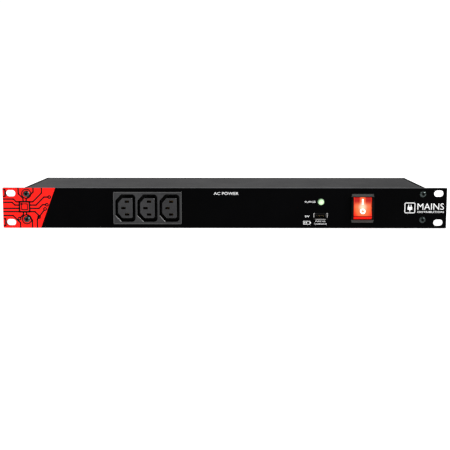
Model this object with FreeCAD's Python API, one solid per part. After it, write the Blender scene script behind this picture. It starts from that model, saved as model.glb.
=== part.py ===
import FreeCAD, Part
import math
import os

V = FreeCAD.Vector
X_AXIS, Y_AXIS, Z_AXIS = V(1, 0, 0), V(0, 1, 0), V(0, 0, 1)
HOME = V(0, 0, 0)

# All lengths are in millimetres. X runs along the rack, the front faces -Y and Z is up.
# The origin is the centre of the four rack slots, on the plane that meets the rack rails.

# Front panel
PANEL_W, PANEL_H, PANEL_T = 482.6, 44.0, 3.0
PANEL_EDGE = 0.3
RACK_PITCH_X, RACK_PITCH_Z = 465.1, 31.75
RACK_SLOT_L, RACK_SLOT_R = 10.5, 3.55
PANEL_SCREW_X, PANEL_SCREW_TOP, PANEL_SCREW_LOW = 215.3, 15.4, -12.6

# Folded steel case
CASE_W, CASE_H, CASE_D, SHEET = 445.0, 40.0, 147.0, 1.5
BEND_R, FOLD_R = 2.0, 1.0
FLANGE_W = 13.5
COVER_GAP = 0.1
LIP_DEPTH = 11.0
TAB_W, TAB_DROP = 9.0, 5.5
COVER_SCREW_XS, COVER_SCREW_Z = (-159.4, 8.6, 195.4), 16.5
SIDE_SCREW_YS, SIDE_SCREW_Z = (38.0, 112.0), 13.5

# Screws
M4_R, M3_R, THREAD_GAP, SCREW_CLEARANCE = 1.95, 1.45, 0.05, 0.25
BUTTON_HEAD_R, BUTTON_HEAD_T, BUTTON_SOCKET_R, BUTTON_SOCKET_DEPTH = 3.5, 2.2, 1.45, 1.4
PAN_HEAD_R, PAN_HEAD_T, SINK_R, SINK_DEPTH = 3.15, 2.1, 2.85, 1.1

# Outlet modules
OUTLET_PITCH = 24.0
BEZEL_T, BEZEL_H, BEZEL_END = 1.5, 35.0, 13.2
BODY_INSET_X, BODY_INSET_Z = 1.4, 1.4
MOULD_R = 0.3
BODY_DEPTH = 22.0
GROOVE_W, GROOVE_H, GROOVE_R, GROOVE_DEPTH = 22.0, 30.2, 4.0, 16.0
GROOVE_CHAMFER_X, GROOVE_CHAMFER_Z = 6.4, 7.0
CORE_W, CORE_H, CORE_R = 15.6, 21.6, 2.0
CORE_CHAMFER_X, CORE_CHAMFER_Z = 4.5, 5.4
PIN_SPREAD = 7.0
LIVE_SLOT_X, EARTH_SLOT_X = 1.7, -2.2
ENTRY_W, ENTRY_H, ENTRY_DEPTH = 5.0, 2.7, 3.0
POCKET_W, POCKET_H = 6.0, 4.4
CHANNEL_H, CHANNEL_Y = 4.8, 18.0
BUS_T, BUS_H = 0.8, 4.2
LEAF_T, LEAF_W, LEAF_TIP_Y, LEAF_ROOT_Z, LEAF_PINCH_Z = 0.45, 4.2, 4.2, 1.55, 1.05
BACK_COVER_T = 2.0
TAB_BLADE_W, TAB_BLADE_T, TAB_BLADE_L = 6.35, 0.8, 9.0
FRONT_MODULE_X, FRONT_COUNT = -83.5, 3
REAR_A_X, REAR_B_X, REAR_COUNT, REAR_MODULE_Z = 73.75, -90.1, 5, 0.4
FRONT_TAB_OFFSET, REAR_TAB_OFFSET = 12.0, 36.0

# Wire connectors and wires
SLEEVE_W, SLEEVE_H, SLEEVE_L = 7.8, 3.6, 12.0
BARREL_R, BARREL_L = 1.78, 5.0
CONNECTOR_LIFT = 1.0
WIRE_R, THIN_WIRE_R = 1.4, 0.6
WIRE_SEAT, WIRE_LEAD, WIRE_BEND = 12.5, 6.0, 9.0

# Mains inlet
INLET_X, INLET_Z = 187.3, -0.8
INLET_FLANGE_W, INLET_FLANGE_H, INLET_FLANGE_T = 50.2, 22.4, 3.0
INLET_HOLE_PITCH = 40.0
INLET_TIP_Z, INLET_TIP_R, INLET_SHOULDER_X, INLET_SHOULDER_R = 3.4, 3.2, 14.2, 2.5
INLET_MOUTH_CHAMFER = 2.7
INLET_RIM_W, INLET_RIM_H, INLET_RIM_Y = 28.5, 20.8, 5.0
INLET_MOUTH_W, INLET_MOUTH_H, INLET_MOUTH_DEPTH = 25.5, 17.0, 17.0
INLET_BODY_W, INLET_BODY_H, INLET_BODY_DEPTH = 27.6, 19.8, 18.0
PIN_W, PIN_H, PIN_L, EARTH_PIN_L = 2.0, 4.0, 13.0, 15.0
PIN_LIVE_Z, PIN_EARTH_Z = -1.7, 1.5

# Resettable circuit breaker
BREAKER_X, BREAKER_Z = 149.1, 0.7
BREAKER_W, BREAKER_H, BREAKER_DEPTH = 15.0, 30.0, 30.0
BUSHING_R, BUSHING_L = 6.0, 8.0
BREAKER_NUT_R, BREAKER_NUT_T = 9.4, 4.0
BUTTON_R, BUTTON_FIT = 3.5, 0.06
BUTTON_TRAVEL, BUTTON_COLLAR_T, BUTTON_REST_GAP = 4.0, 2.0, 0.4
BREAKER_WALL, NOTCH_W, NOTCH_DEPTH = 3.0, 3.6, 1.6
KNURL_COUNT, KNURL_R = 36, 0.35

# Rocker switch
SWITCH_X = 150.0
SWITCH_BEZEL_H, SWITCH_BAR_W, SWITCH_BEZEL_T = 31.2, 23.6, 1.6
GUARD_T, GUARD_PROUD, GUARD_H, GUARD_SLOPE_Y, GUARD_SLOPE_Z = 2.4, 4.2, 27.0, 2.4, 5.0
SWITCH_BODY_W, SWITCH_BODY_H, SWITCH_DEPTH = 22.4, 28.6, 24.0
ROCKER_W, ROCKER_R, ROCKER_GAP, ROCKER_WALL = 19.1, 11.9, 0.3, 1.6
ROCKER_PIVOT_Y, VERTEX_OFFSET = -2.1, 2.5
ROCKER_TILT = 12.0
ROCKER_TRUNNION_R, TRUNNION_FIT, TRUNNION_L = 1.5, 0.05, 0.9
POLE_OFFSET, THROW_Z = 5.0, 9.0
PLUNGER_REACH, PLUNGER_L, PLUNGER_R = 9.0, 4.5, 1.6
LEVER_TILT = 6.0
LEVER_L, LEVER_W, LEVER_T = 13.0, 4.0, 0.8
LAMP_R, LAMP_L, LAMP_FOOT_Z, LAMP_OFFSET_Y, LAMP_HOLDER_L = 1.5, 7.0, -9.0, 1.2, 2.4

# Indicator lamp and charging socket
LED_X, LED_Z, LED_R = 105.0, 6.9, 3.45
USB_X, USB_Z = 104.7, -9.1
USB_MOUTH_W, USB_MOUTH_H, USB_SHELL_T, USB_SHELL_L = 12.6, 5.2, 0.3, 14.0
USB_FOOT_YS, USB_FOOT_L = (3.0, 8.0), 1.4

# Surge and filter board
BOARD_X0, BOARD_X1, BOARD_Y0, BOARD_Y1 = -35.0, 75.0, 8.0, 62.0
BOARD_T, BOARD_LIFT = 1.6, 5.0
BLOCK_X, BLOCK_PITCH, BLOCK_POLES = 20.0, 7.5, 6
BLOCK_WIRE_Z = -7.0

# Earth studs
MAIN_STUD, BOARD_STUD = (205.0, 75.0), (-12.0, 82.0)
RING_T, RING_R, RING_REACH, RING_BARREL_L, RING_WIRE_Z = 0.8, 4.2, 7.0, 5.0, 2.0

FLOOR_Z = SHEET - CASE_H / 2
CEILING_Z = CASE_H / 2 - SHEET
REAR_Y = CASE_D
REAR_INNER_Y = CASE_D - SHEET


def box(x0, x1, y0, y1, z0, z1):
    """Block between two opposite corners."""
    return Part.makeBox(x1 - x0, y1 - y0, z1 - z0, V(x0, y0, z0))


def bar(x, z, width, height, y0, y1):
    """Block along Y, centred on x and z."""
    return box(x - width / 2, x + width / 2, y0, y1, z - height / 2, z + height / 2)


def rod(x, z, radius, y0, y1):
    """Cylinder along Y."""
    return Part.makeCylinder(radius, y1 - y0, V(x, y0, z), Y_AXIS)


def join(shapes):
    """Fuse shapes into one clean solid."""
    return shapes[0].multiFuse(shapes[1:]).removeSplitter()


def carve(shape, tools):
    """Cut every tool out of a shape."""
    return shape.cut(Part.makeCompound(list(tools))).removeSplitter()


def moved(shape, x=0.0, y=0.0, z=0.0):
    """Copy of a shape at a new place."""
    copy = shape.copy()
    copy.translate(V(x, y, z))
    return copy


def turned(shape, axis, degrees, centre=HOME):
    """Copy of a shape turned about an axis."""
    copy = shape.copy()
    copy.rotate(centre, axis, degrees)
    return copy


def profile(corners):
    """Flat face in the XZ plane from (x, z, corner radius) triples."""
    points = [V(x, 0, z) for x, z, _ in corners]
    starts, ends, middles = [], [], []
    for i, (_, _, radius) in enumerate(corners):
        here = points[i]
        back = (points[i - 1] - here).normalize()
        ahead = (points[(i + 1) % len(points)] - here).normalize()
        half = back.getAngle(ahead) / 2
        reach = radius / math.tan(half)
        centre = here + (back + ahead).normalize() * (radius / math.sin(half))
        starts.append(here + back * reach)
        ends.append(here + ahead * reach)
        middles.append(centre - (back + ahead).normalize() * radius)
    edges = []
    for i, (_, _, radius) in enumerate(corners):
        if radius > 0:
            edges.append(Part.Arc(starts[i], middles[i], ends[i]).toShape())
        following = starts[(i + 1) % len(points)]
        if (following - ends[i]).Length > 1e-6:
            edges.append(Part.makeLine(ends[i], following))
    return Part.Face(Part.Wire(edges))


def prism(corners, y0, y1):
    """Profile in the XZ plane pushed along Y."""
    return moved(profile(corners).extrude(V(0, y1 - y0, 0)), y=y0)


def rounded(width, height, radius, top_radius=None):
    """Corner list of a centred rectangle, with its own radius on top if given."""
    top = radius if top_radius is None else top_radius
    w, h = width / 2, height / 2
    return [(-w, -h, radius), (w, -h, radius), (w, h, top), (-w, h, top)]


def edge_trim(shape, size, picks):
    """Chamfer the edges that a test picks out."""
    return shape.makeChamfer(size, [edge for edge in shape.Edges if picks(edge)])


def edge_round(shape, size, picks):
    """Round the edges that a test picks out."""
    return shape.makeFillet(size, [edge for edge in shape.Edges if picks(edge)])


def lies_at_y(edge, y):
    """True when a whole edge lies in the plane at y."""
    return edge.BoundBox.YLength < 1e-4 and abs(edge.BoundBox.YMin - y) < 1e-4


def side_profile(points, width):
    """Outline of (y, z) points pushed along X, centred on x = 0."""
    wire = Part.makePolygon([V(-width / 2, y, z) for y, z in points + points[:1]])
    return Part.Face(wire).extrude(V(width, 0, 0))


def spun(points):
    """Outline of (radius, y) points turned all the way about Y."""
    outline = Part.makePolygon([V(r, y, 0) for r, y in points + points[:1]])
    return Part.Face(outline).revolve(HOME, Y_AXIS, 360)


def coil(radius, wire_radius, length, turns):
    """Compression spring along +Y with closed ends."""
    helix = Part.makeHelix(length / turns, length, radius)
    ring = Part.Wire(Part.makeCircle(wire_radius, V(radius, 0, 0), Y_AXIS))
    return turned(Part.Wire(helix).makePipeShell([ring], True, True), X_AXIS, -90)


# ---------------------------------------------------------------- enclosure


def rack_slot(x, z):
    """Cutter for one slotted rack hole."""
    straight = RACK_SLOT_L - 2 * RACK_SLOT_R
    ends = [rod(x + s * straight / 2, z, RACK_SLOT_R, -PANEL_T - 1, 1) for s in (-1, 1)]
    return join([bar(x, z, straight, 2 * RACK_SLOT_R, -PANEL_T - 1, 1)] + ends)


def panel_screw_places():
    """X and Z of the screws that hold the panel to the case."""
    return [(s * PANEL_SCREW_X, z) for s in (-1, 1) for z in (PANEL_SCREW_TOP, PANEL_SCREW_LOW)]


def front_panel():
    """Flat rack panel with every cut-out."""
    plate = prism(rounded(PANEL_W, PANEL_H, 0.8), -PANEL_T, 0)
    slots = [rack_slot(sx * RACK_PITCH_X / 2, sz * RACK_PITCH_Z / 2) for sx in (-1, 1) for sz in (-1, 1)]
    screws = [rod(x, z, M4_R + SCREW_CLEARANCE, -PANEL_T - 1, 1) for x, z in panel_screw_places()]
    outlet = moved(module_opening(FRONT_COUNT, -PANEL_T - 1, 1), x=FRONT_MODULE_X)
    led = rod(LED_X, LED_Z, LED_R + 0.1, -PANEL_T - 1, 1)
    usb = bar(USB_X, USB_Z, USB_MOUTH_W + 1.0, USB_MOUTH_H + 1.0, -PANEL_T - 1, 1)
    flare = usb_flare(USB_MOUTH_W + 0.9, USB_MOUTH_H + 0.9)
    switch = bar(SWITCH_X, 0, SWITCH_BODY_W + 0.3, SWITCH_BODY_H + 0.3, -PANEL_T - 1, 1)
    panel = carve(plate, slots + screws + [outlet, led, usb, flare, switch])
    return edge_round(panel, PANEL_EDGE, lambda edge: lies_at_y(edge, -PANEL_T))


def case_outline(inset):
    """Case cross-section with its two bottom bends, shrunk by an inset."""
    w, low, high = CASE_W / 2 - inset, inset - CASE_H / 2, CASE_H / 2
    radius = BEND_R - inset
    return [(-w, low, radius), (w, low, radius), (w, high, 0), (-w, high, 0)]


def chassis_tray():
    """Folded tray: floor, sides, rear wall and front flanges."""
    shell = prism(case_outline(0), 0, CASE_D)
    room = prism(case_outline(SHEET), -1, REAR_INNER_Y)
    tray = shell.cut(room)
    for side in (-1, 1):
        edge_x = side * (CASE_W / 2 - SHEET)
        inner_x = side * (CASE_W / 2 - FLANGE_W)
        low_x, high_x = sorted((edge_x, inner_x))
        tray = tray.fuse(box(low_x, high_x, 0, SHEET, FLOOR_Z, CEILING_Z - COVER_GAP))
    holes = [rod(x, z, M4_R + THREAD_GAP, -1, SHEET + 1) for x, z in panel_screw_places()]
    for centre in (REAR_A_X, REAR_B_X):
        opening = module_opening(REAR_COUNT, REAR_INNER_Y - 1, REAR_Y + 1)
        holes.append(moved(opening, x=centre, z=REAR_MODULE_Z))
    holes.append(moved(inlet_opening(), x=INLET_X, z=INLET_Z))
    holes += [
        rod(INLET_X + s * INLET_HOLE_PITCH / 2, INLET_Z, M3_R + THREAD_GAP, REAR_INNER_Y - 1, REAR_Y + 1)
        for s in (-1, 1)
    ]
    holes.append(rod(BREAKER_X, BREAKER_Z, BUSHING_R + 0.1, REAR_INNER_Y - 1, REAR_Y + 1))
    holes += [
        rod(x, COVER_SCREW_Z, M3_R + SCREW_CLEARANCE, REAR_INNER_Y - 1, REAR_Y + 1) for x in COVER_SCREW_XS
    ]
    for side in (-1, 1):
        for y in SIDE_SCREW_YS:
            holes.append(side_screw_hole(side, y))
    return edge_round(
        carve(tray, holes), FOLD_R,
        lambda edge: lies_at_y(edge, REAR_Y) and edge.BoundBox.ZMin < BEND_R + 1 - CASE_H / 2,
    )


def side_screw_hole(side, y):
    """Countersunk hole through a side wall."""
    reach = SHEET + 1
    start = V(side * (CASE_W / 2 + 1), y, SIDE_SCREW_Z)
    hole = Part.makeCylinder(M3_R + SCREW_CLEARANCE, reach + 1, start, V(-side, 0, 0))
    mouth = V(side * CASE_W / 2, y, SIDE_SCREW_Z)
    sink = Part.makeCone(SINK_R, SINK_R - SINK_DEPTH, SINK_DEPTH, mouth, V(-side, 0, 0))
    return hole.fuse(sink)


def top_cover():
    """Cover plate with folded side lips and three rear tabs."""
    half = CASE_W / 2 - SHEET - COVER_GAP
    top, under = CASE_H / 2, CEILING_Z
    low = top - LIP_DEPTH
    outline = [
        (-half, low, 0), (-half + SHEET, low, 0), (-half + SHEET, under, BEND_R - SHEET),
        (half - SHEET, under, BEND_R - SHEET), (half - SHEET, low, 0), (half, low, 0),
        (half, top, BEND_R), (-half, top, BEND_R),
    ]
    back = REAR_INNER_Y - COVER_GAP
    cover = prism(outline, 0.3, back)
    flange_notch = CASE_W / 2 - SHEET - FLANGE_W
    notches = [
        box(min(s * flange_notch, s * CASE_W / 2), max(s * flange_notch, s * CASE_W / 2),
            0, SHEET + 0.2, low - 1, CEILING_Z)
        for s in (-1, 1)
    ]
    tabs = [
        box(x - TAB_W / 2, x + TAB_W / 2, back - SHEET, back, under - TAB_DROP, under + SHEET / 2)
        for x in COVER_SCREW_XS
    ]
    threads = [rod(x, COVER_SCREW_Z, M3_R + THREAD_GAP, back - SHEET - 1, back + 1) for x in COVER_SCREW_XS]
    for s in (-1, 1):
        for y in SIDE_SCREW_YS:
            start = V(s * (half + 1), y, SIDE_SCREW_Z)
            threads.append(Part.makeCylinder(M3_R + THREAD_GAP, SHEET + 2, start, V(-s, 0, 0)))
    return carve(join([cover.cut(Part.makeCompound(notches))] + tabs), threads)


def hexagon(corner, height):
    """Hexagonal bar along Z from z = 0, sized over its corners."""
    angles = [math.radians(60 * k) for k in range(7)]
    outline = Part.makePolygon([V(corner * math.cos(a), corner * math.sin(a), 0) for a in angles])
    return Part.Face(outline).extrude(V(0, 0, height))


def domed_head(radius, height, rim):
    """Domed screw head that stands towards -Y from y = 0."""
    rise = height - rim
    ball_r = (radius**2 + rise**2) / (2 * rise)
    return rod(0, 0, radius, -height, 0).common(Part.makeSphere(ball_r, V(0, ball_r - height, 0)))


def button_screw(length):
    """Socket button-head screw pointing along +Y, head seat at y = 0."""
    floor_y = BUTTON_SOCKET_DEPTH - BUTTON_HEAD_T
    socket = turned(hexagon(BUTTON_SOCKET_R, BUTTON_HEAD_T), X_AXIS, 90)
    head = domed_head(BUTTON_HEAD_R, BUTTON_HEAD_T, 0.5)
    return join([head, rod(0, 0, M4_R, 0, length)]).cut(moved(socket, y=floor_y))


def cross_recess(depth, top):
    """Tapered cross-shaped cutter that opens at y = top."""
    arm = side_profile([(top - 0.1, -1.6), (top - 0.1, 1.6), (top + depth, 0.7), (top + depth, -0.7)], 0.7)
    return arm.fuse(turned(arm, Y_AXIS, 90))


def pan_screw(radius, height, length):
    """Pan-head cross-recess screw pointing along +Y, head seat at y = 0."""
    body = join([domed_head(radius, height, 0.9), rod(0, 0, M3_R, 0, length)])
    return body.cut(cross_recess(1.3, -height))


def flat_screw(radius, length):
    """Countersunk cross-recess screw pointing along +Y, head flush with y = 0."""
    depth = radius - M3_R
    head = Part.makeCone(radius, M3_R, depth, HOME, Y_AXIS)
    return join([head, rod(0, 0, M3_R, depth - 0.01, length)]).cut(cross_recess(1.0, 0))


def front_panel_screws():
    """Four screws that clamp the panel to the case."""
    screw = button_screw(7.0)
    return Part.makeCompound([moved(screw, x, -PANEL_T, z) for x, z in panel_screw_places()])


def cover_rear_screws():
    """Three bright screws through the rear wall into the cover tabs."""
    screw = turned(pan_screw(PAN_HEAD_R, PAN_HEAD_T, 5.0), Z_AXIS, 180)
    return Part.makeCompound([moved(screw, x, REAR_Y, COVER_SCREW_Z) for x in COVER_SCREW_XS])


def cover_side_screws():
    """Flush screws through the side walls into the cover lips."""
    screws = []
    for side in (-1, 1):
        screw = turned(flat_screw(SINK_R - 0.1, 4.0), Z_AXIS, 90 * side)
        screws += [moved(screw, side * CASE_W / 2, y, SIDE_SCREW_Z) for y in SIDE_SCREW_YS]
    return Part.makeCompound(screws)


# ---------------------------------------------------------------- outlets


def row_places(count):
    """Outlet centres along a module."""
    return [(k - (count - 1) / 2) * OUTLET_PITCH for k in range(count)]


def bezel_width(count):
    """Overall width of a module's bezel."""
    return (count - 1) * OUTLET_PITCH + 2 * BEZEL_END - 0.1 * count


def module_opening(count, y0, y1):
    """Cutter for the hole that a module snaps into."""
    width = bezel_width(count) - 2 * BODY_INSET_X + 0.2
    return prism(rounded(width, BEZEL_H - 2 * BODY_INSET_Z + 0.2, 0.8), y0, y1)


def keyed_outline(width, height, chamfer_x, chamfer_z, radius):
    """Rectangle with two big chamfers on its earth side."""
    w, h = width / 2, height / 2
    return [
        (w, -h, radius), (w, h, radius), (-w + chamfer_x, h, 1.0), (-w, h - chamfer_z, 1.0),
        (-w, -h + chamfer_z, 1.0), (-w + chamfer_x, -h, 1.0),
    ]


def outlet_groove():
    """Cutter for the moat that a plug's shroud goes into."""
    outer = keyed_outline(GROOVE_W, GROOVE_H, GROOVE_CHAMFER_X, GROOVE_CHAMFER_Z, GROOVE_R)
    core = keyed_outline(CORE_W, CORE_H, CORE_CHAMFER_X, CORE_CHAMFER_Z, CORE_R)
    return prism(outer, -1, GROOVE_DEPTH).cut(prism(core, -2, GROOVE_DEPTH + 1))


def contact_places():
    """X and Z of the neutral, line and earth slots of one outlet."""
    return [(LIVE_SLOT_X, PIN_SPREAD), (LIVE_SLOT_X, -PIN_SPREAD), (EARTH_SLOT_X, 0.0)]


def outlet_housing(count):
    """Moulded module: bezel, grooves, pin slots, contact pockets and snap hooks."""
    width = bezel_width(count)
    body_w, body_h = width - 2 * BODY_INSET_X, BEZEL_H - 2 * BODY_INSET_Z
    bezel = prism(rounded(width, BEZEL_H, 1.0), 0, BEZEL_T)
    body = prism(rounded(body_w, body_h, 0.7), BEZEL_T, BODY_DEPTH)
    hooks = []
    for x in row_places(count)[::2]:
        for side in (-1, 1):
            root, tip = side * (body_h / 2 - 0.3), side * (body_h / 2 + 0.9)
            hook = side_profile([(5.0, root), (5.0, tip), (8.5, root)], 5.0)
            hooks.append(moved(hook, x=x))
    cuts = []
    for x in row_places(count):
        cuts.append(moved(outlet_groove(), x=x))
        for dx, z in contact_places():
            cuts.append(bar(x + dx, z, ENTRY_W, ENTRY_H, -1, ENTRY_DEPTH + 0.1))
            cuts.append(bar(x + dx, z, POCKET_W, POCKET_H, ENTRY_DEPTH, CHANNEL_Y + 0.1))
    for _, z in contact_places():
        cuts.append(bar(0, z, body_w - 3.0, CHANNEL_H, CHANNEL_Y, BODY_DEPTH + 1))
    return edge_round(carve(join([bezel, body] + hooks), cuts), MOULD_R, lambda edge: lies_at_y(edge, 0))


def outlet_back(count, tab_offset):
    """Rear plate that traps the bus bars."""
    width, height = bezel_width(count) - 2 * BODY_INSET_X - 0.6, BEZEL_H - 2 * BODY_INSET_Z - 0.6
    plate = prism(rounded(width, height, 0.7), BODY_DEPTH, BODY_DEPTH + BACK_COVER_T)
    ribs = [
        bar(0, z, width - 4.0, CHANNEL_H - 0.8, CHANNEL_Y + BUS_T + 0.3, BODY_DEPTH + 0.1)
        for _, z in contact_places()
    ]
    slots = []
    for _, z in contact_places():
        for side in (-1, 1):
            x = side * tab_offset
            slots.append(bar(x, z, TAB_BLADE_W + 0.4, TAB_BLADE_T + 0.4, CHANNEL_Y, BODY_DEPTH + 5))
    return carve(join([plate] + ribs), slots)


def contact_leaf():
    """One spring leaf of a contact, bowed towards the pin."""
    pinch_y = LEAF_TIP_Y + 3.0
    line = [(CHANNEL_Y + 0.3, LEAF_ROOT_Z), (pinch_y, LEAF_PINCH_Z), (LEAF_TIP_Y, LEAF_ROOT_Z)]
    outer = [(y, z + LEAF_T) for y, z in reversed(line)]
    return side_profile(line + outer, LEAF_W)


def bus_bar(count, dx, z, tab_offset):
    """Bus strip with a spring contact per outlet and two push-on blades."""
    top = CHANNEL_Y + 0.1
    half = (count - 1) / 2 * OUTLET_PITCH + LEAF_W
    parts = [box(-half + dx / 2, half + dx / 2, top, top + BUS_T, z - BUS_H / 2, z + BUS_H / 2)]
    leaf = contact_leaf()
    for x in row_places(count):
        parts.append(moved(leaf, x=x + dx, z=z))
        parts.append(moved(turned(leaf, Y_AXIS, 180), x=x + dx, z=z))
    blade_end = BODY_DEPTH + BACK_COVER_T + TAB_BLADE_L
    for side in (-1, 1):
        x = side * tab_offset
        blade = bar(x, z, TAB_BLADE_W, TAB_BLADE_T, top + 0.2, blade_end)
        parts.append(edge_trim(blade, 0.25, lambda edge: lies_at_y(edge, blade_end)))
    return join(parts)


def front_placed(shape):
    """Move a module from its own axes to the front panel."""
    return moved(shape, x=FRONT_MODULE_X, y=-PANEL_T - BEZEL_T)


def rear_placed(centre_x):
    """Mover from a module's own axes to a place on the rear wall."""
    return lambda shape: moved(turned(shape, X_AXIS, 180), centre_x, REAR_Y + BEZEL_T, REAR_MODULE_Z)


def outlet_module(prefix, count, tab_offset, line_sign, place):
    """All five nodes of one outlet module."""
    line_z, neutral_z = line_sign * PIN_SPREAD, -line_sign * PIN_SPREAD
    return {
        prefix + "_outlet_housing": place(outlet_housing(count)),
        prefix + "_outlet_back": place(outlet_back(count, tab_offset)),
        prefix + "_line_bus": place(bus_bar(count, LIVE_SLOT_X, line_z, tab_offset)),
        prefix + "_neutral_bus": place(bus_bar(count, LIVE_SLOT_X, neutral_z, tab_offset)),
        prefix + "_earth_bus": place(bus_bar(count, EARTH_SLOT_X, 0.0, tab_offset)),
    }


# ---------------------------------------------------------------- mains inlet


def inlet_opening():
    """Cutter for the inlet's hole in the rear wall."""
    return bar(0, 0, INLET_BODY_W + 0.2, INLET_BODY_H + 0.2, REAR_INNER_Y - 1, REAR_Y + 1)


def inlet_mouth(width, height, y0, y1):
    """Shaped hollow that the mains lead's plug goes into."""
    w, h = width / 2, height / 2
    chamfer = INLET_MOUTH_CHAMFER
    corners = [
        (-w + chamfer, -h, 0.5), (w - chamfer, -h, 0.5), (w, -h + chamfer, 0.5), (w, h, 1.4),
        (-w, h, 1.4), (-w, -h + chamfer, 0.5),
    ]
    return prism(corners, y0, y1)


def inlet_body():
    """Inlet moulding: flange, rim, hollow body and terminal wall."""
    flange_w, flange_h = INLET_FLANGE_W / 2, INLET_FLANGE_H / 2
    tip_z, shoulder_x = INLET_TIP_Z, INLET_SHOULDER_X
    outline = [
        (-flange_w, -tip_z, INLET_TIP_R), (-shoulder_x, -flange_h, INLET_SHOULDER_R),
        (shoulder_x, -flange_h, INLET_SHOULDER_R), (flange_w, -tip_z, INLET_TIP_R),
        (flange_w, tip_z, INLET_TIP_R), (shoulder_x, flange_h, INLET_SHOULDER_R),
        (-shoulder_x, flange_h, INLET_SHOULDER_R), (-flange_w, tip_z, INLET_TIP_R),
    ]
    flange = edge_trim(prism(outline, 0, INLET_FLANGE_T), 0.5, lambda edge: lies_at_y(edge, INLET_FLANGE_T))
    rim = prism(rounded(INLET_RIM_W, INLET_RIM_H, 2.2), 0, INLET_RIM_Y)
    body = prism(rounded(INLET_BODY_W, INLET_BODY_H, 1.5), -INLET_BODY_DEPTH, 0)
    floor_y = INLET_RIM_Y - INLET_MOUTH_DEPTH
    mouth = inlet_mouth(INLET_MOUTH_W, INLET_MOUTH_H, floor_y, INLET_RIM_Y + 1)
    sinks = []
    for side in (-1, 1):
        x = side * INLET_HOLE_PITCH / 2
        sinks.append(rod(x, 0, M3_R + SCREW_CLEARANCE, -1, INLET_FLANGE_T + 1))
        sinks.append(Part.makeCone(M3_R + 0.1, 3.15, 1.6, V(x, INLET_FLANGE_T - 1.5, 0), Y_AXIS))
    pins = [bar(x, z, PIN_W, PIN_H, -INLET_BODY_DEPTH - 1, floor_y + 1) for x, z in inlet_pin_places()]
    moulding = carve(join([flange, rim, body]), [mouth] + sinks + pins)
    moulding = edge_round(moulding, 0.4, lambda edge: lies_at_y(edge, INLET_RIM_Y))
    return moved(moulding, INLET_X, REAR_Y, INLET_Z)


def inlet_pin_places():
    """X and Z of the line, neutral and earth pins from the inlet's centre."""
    return [(-PIN_SPREAD, PIN_LIVE_Z), (PIN_SPREAD, PIN_LIVE_Z), (0.0, PIN_EARTH_Z)]


def inlet_pin(place, length):
    """Flat pin with a bevelled tip and a push-on blade behind."""
    x, z = place
    floor_y = INLET_RIM_Y - INLET_MOUTH_DEPTH
    tip = floor_y + length
    pin = edge_trim(
        bar(x, z, PIN_W, PIN_H, -INLET_BODY_DEPTH, tip), 0.5, lambda edge: lies_at_y(edge, tip)
    )
    blade = bar(x, z, TAB_BLADE_T, TAB_BLADE_W, -INLET_BODY_DEPTH - TAB_BLADE_L, -INLET_BODY_DEPTH)
    return moved(join([pin, blade]), INLET_X, REAR_Y, INLET_Z)


def inlet_screws():
    """Two flush black screws through the inlet's flange."""
    screw = turned(flat_screw(3.0, 8.0), Z_AXIS, 180)
    y = REAR_Y + INLET_FLANGE_T
    return Part.makeCompound([
        moved(screw, INLET_X + s * INLET_HOLE_PITCH / 2, y, INLET_Z) for s in (-1, 1)
    ])


# ---------------------------------------------------------------- circuit breaker


def breaker_body():
    """Breaker case with its threaded bushing through the rear wall."""
    front = REAR_INNER_Y
    case = prism(rounded(BREAKER_W, BREAKER_H, 1.2), front - BREAKER_DEPTH, front)
    case = moved(case, BREAKER_X, 0, BREAKER_Z)
    bushing = rod(BREAKER_X, BREAKER_Z, BUSHING_R, front - 0.1, REAR_Y + BUSHING_L)
    bore = rod(BREAKER_X, BREAKER_Z, BUTTON_R + BUTTON_FIT, front - BREAKER_WALL, REAR_Y + BUSHING_L + 1)
    back = front - BREAKER_DEPTH
    chamber = bar(
        BREAKER_X, BREAKER_Z, BREAKER_W - 4.0, BREAKER_H - 5.0, back + 2.0, front - BREAKER_WALL
    )
    end = REAR_Y + BUSHING_L
    notches = [
        bar(BREAKER_X, BREAKER_Z + s * (BUSHING_R - 0.9), NOTCH_W, 2.4, end - NOTCH_DEPTH, end + 1)
        for s in (-1, 1)
    ]
    slots = [
        bar(BREAKER_X, BREAKER_Z + z, TAB_BLADE_W + 0.1, TAB_BLADE_T + 0.1, back - 1, back + 3)
        for z in (-THROW_Z, THROW_Z)
    ]
    return carve(join([case, bushing]), [bore, chamber] + notches + slots)


def breaker_nut():
    """Round dress nut with a knurled rim on the bushing."""
    face = REAR_Y + BREAKER_NUT_T
    ring = spun([
        (BUSHING_R + 0.05, REAR_Y), (BREAKER_NUT_R - 0.3, REAR_Y), (BREAKER_NUT_R, REAR_Y + 0.3),
        (BREAKER_NUT_R, face - 1.4), (BREAKER_NUT_R - 1.6, face), (BUSHING_R + 0.05, face),
    ])
    groove = rod(BREAKER_NUT_R + 0.1, 0, KNURL_R, REAR_Y - 1, face + 1)
    knurl = [turned(groove, Y_AXIS, 360 / KNURL_COUNT * k) for k in range(KNURL_COUNT)]
    return moved(carve(ring, knurl), BREAKER_X, 0, BREAKER_Z)


def collar_y():
    """Y of the front of the button's collar when it is pressed in."""
    return REAR_INNER_Y - BREAKER_WALL - BUTTON_TRAVEL - BUTTON_REST_GAP


def breaker_button():
    """Push-to-reset button with its stem and trip collar, pressed in at rest."""
    top = REAR_Y + BUSHING_L - 1.0
    seat = collar_y()
    low, stem_end = seat - BUTTON_COLLAR_T, seat - 12.0
    cap = spun([(0, seat), (4.6, seat), (4.6, low), (1.4, low), (1.4, stem_end), (0, stem_end)])
    shaft = edge_trim(rod(0, 0, BUTTON_R, seat - 0.1, top), 0.6, lambda edge: lies_at_y(edge, top))
    return moved(join([cap, shaft]), BREAKER_X, 0, BREAKER_Z)


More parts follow.
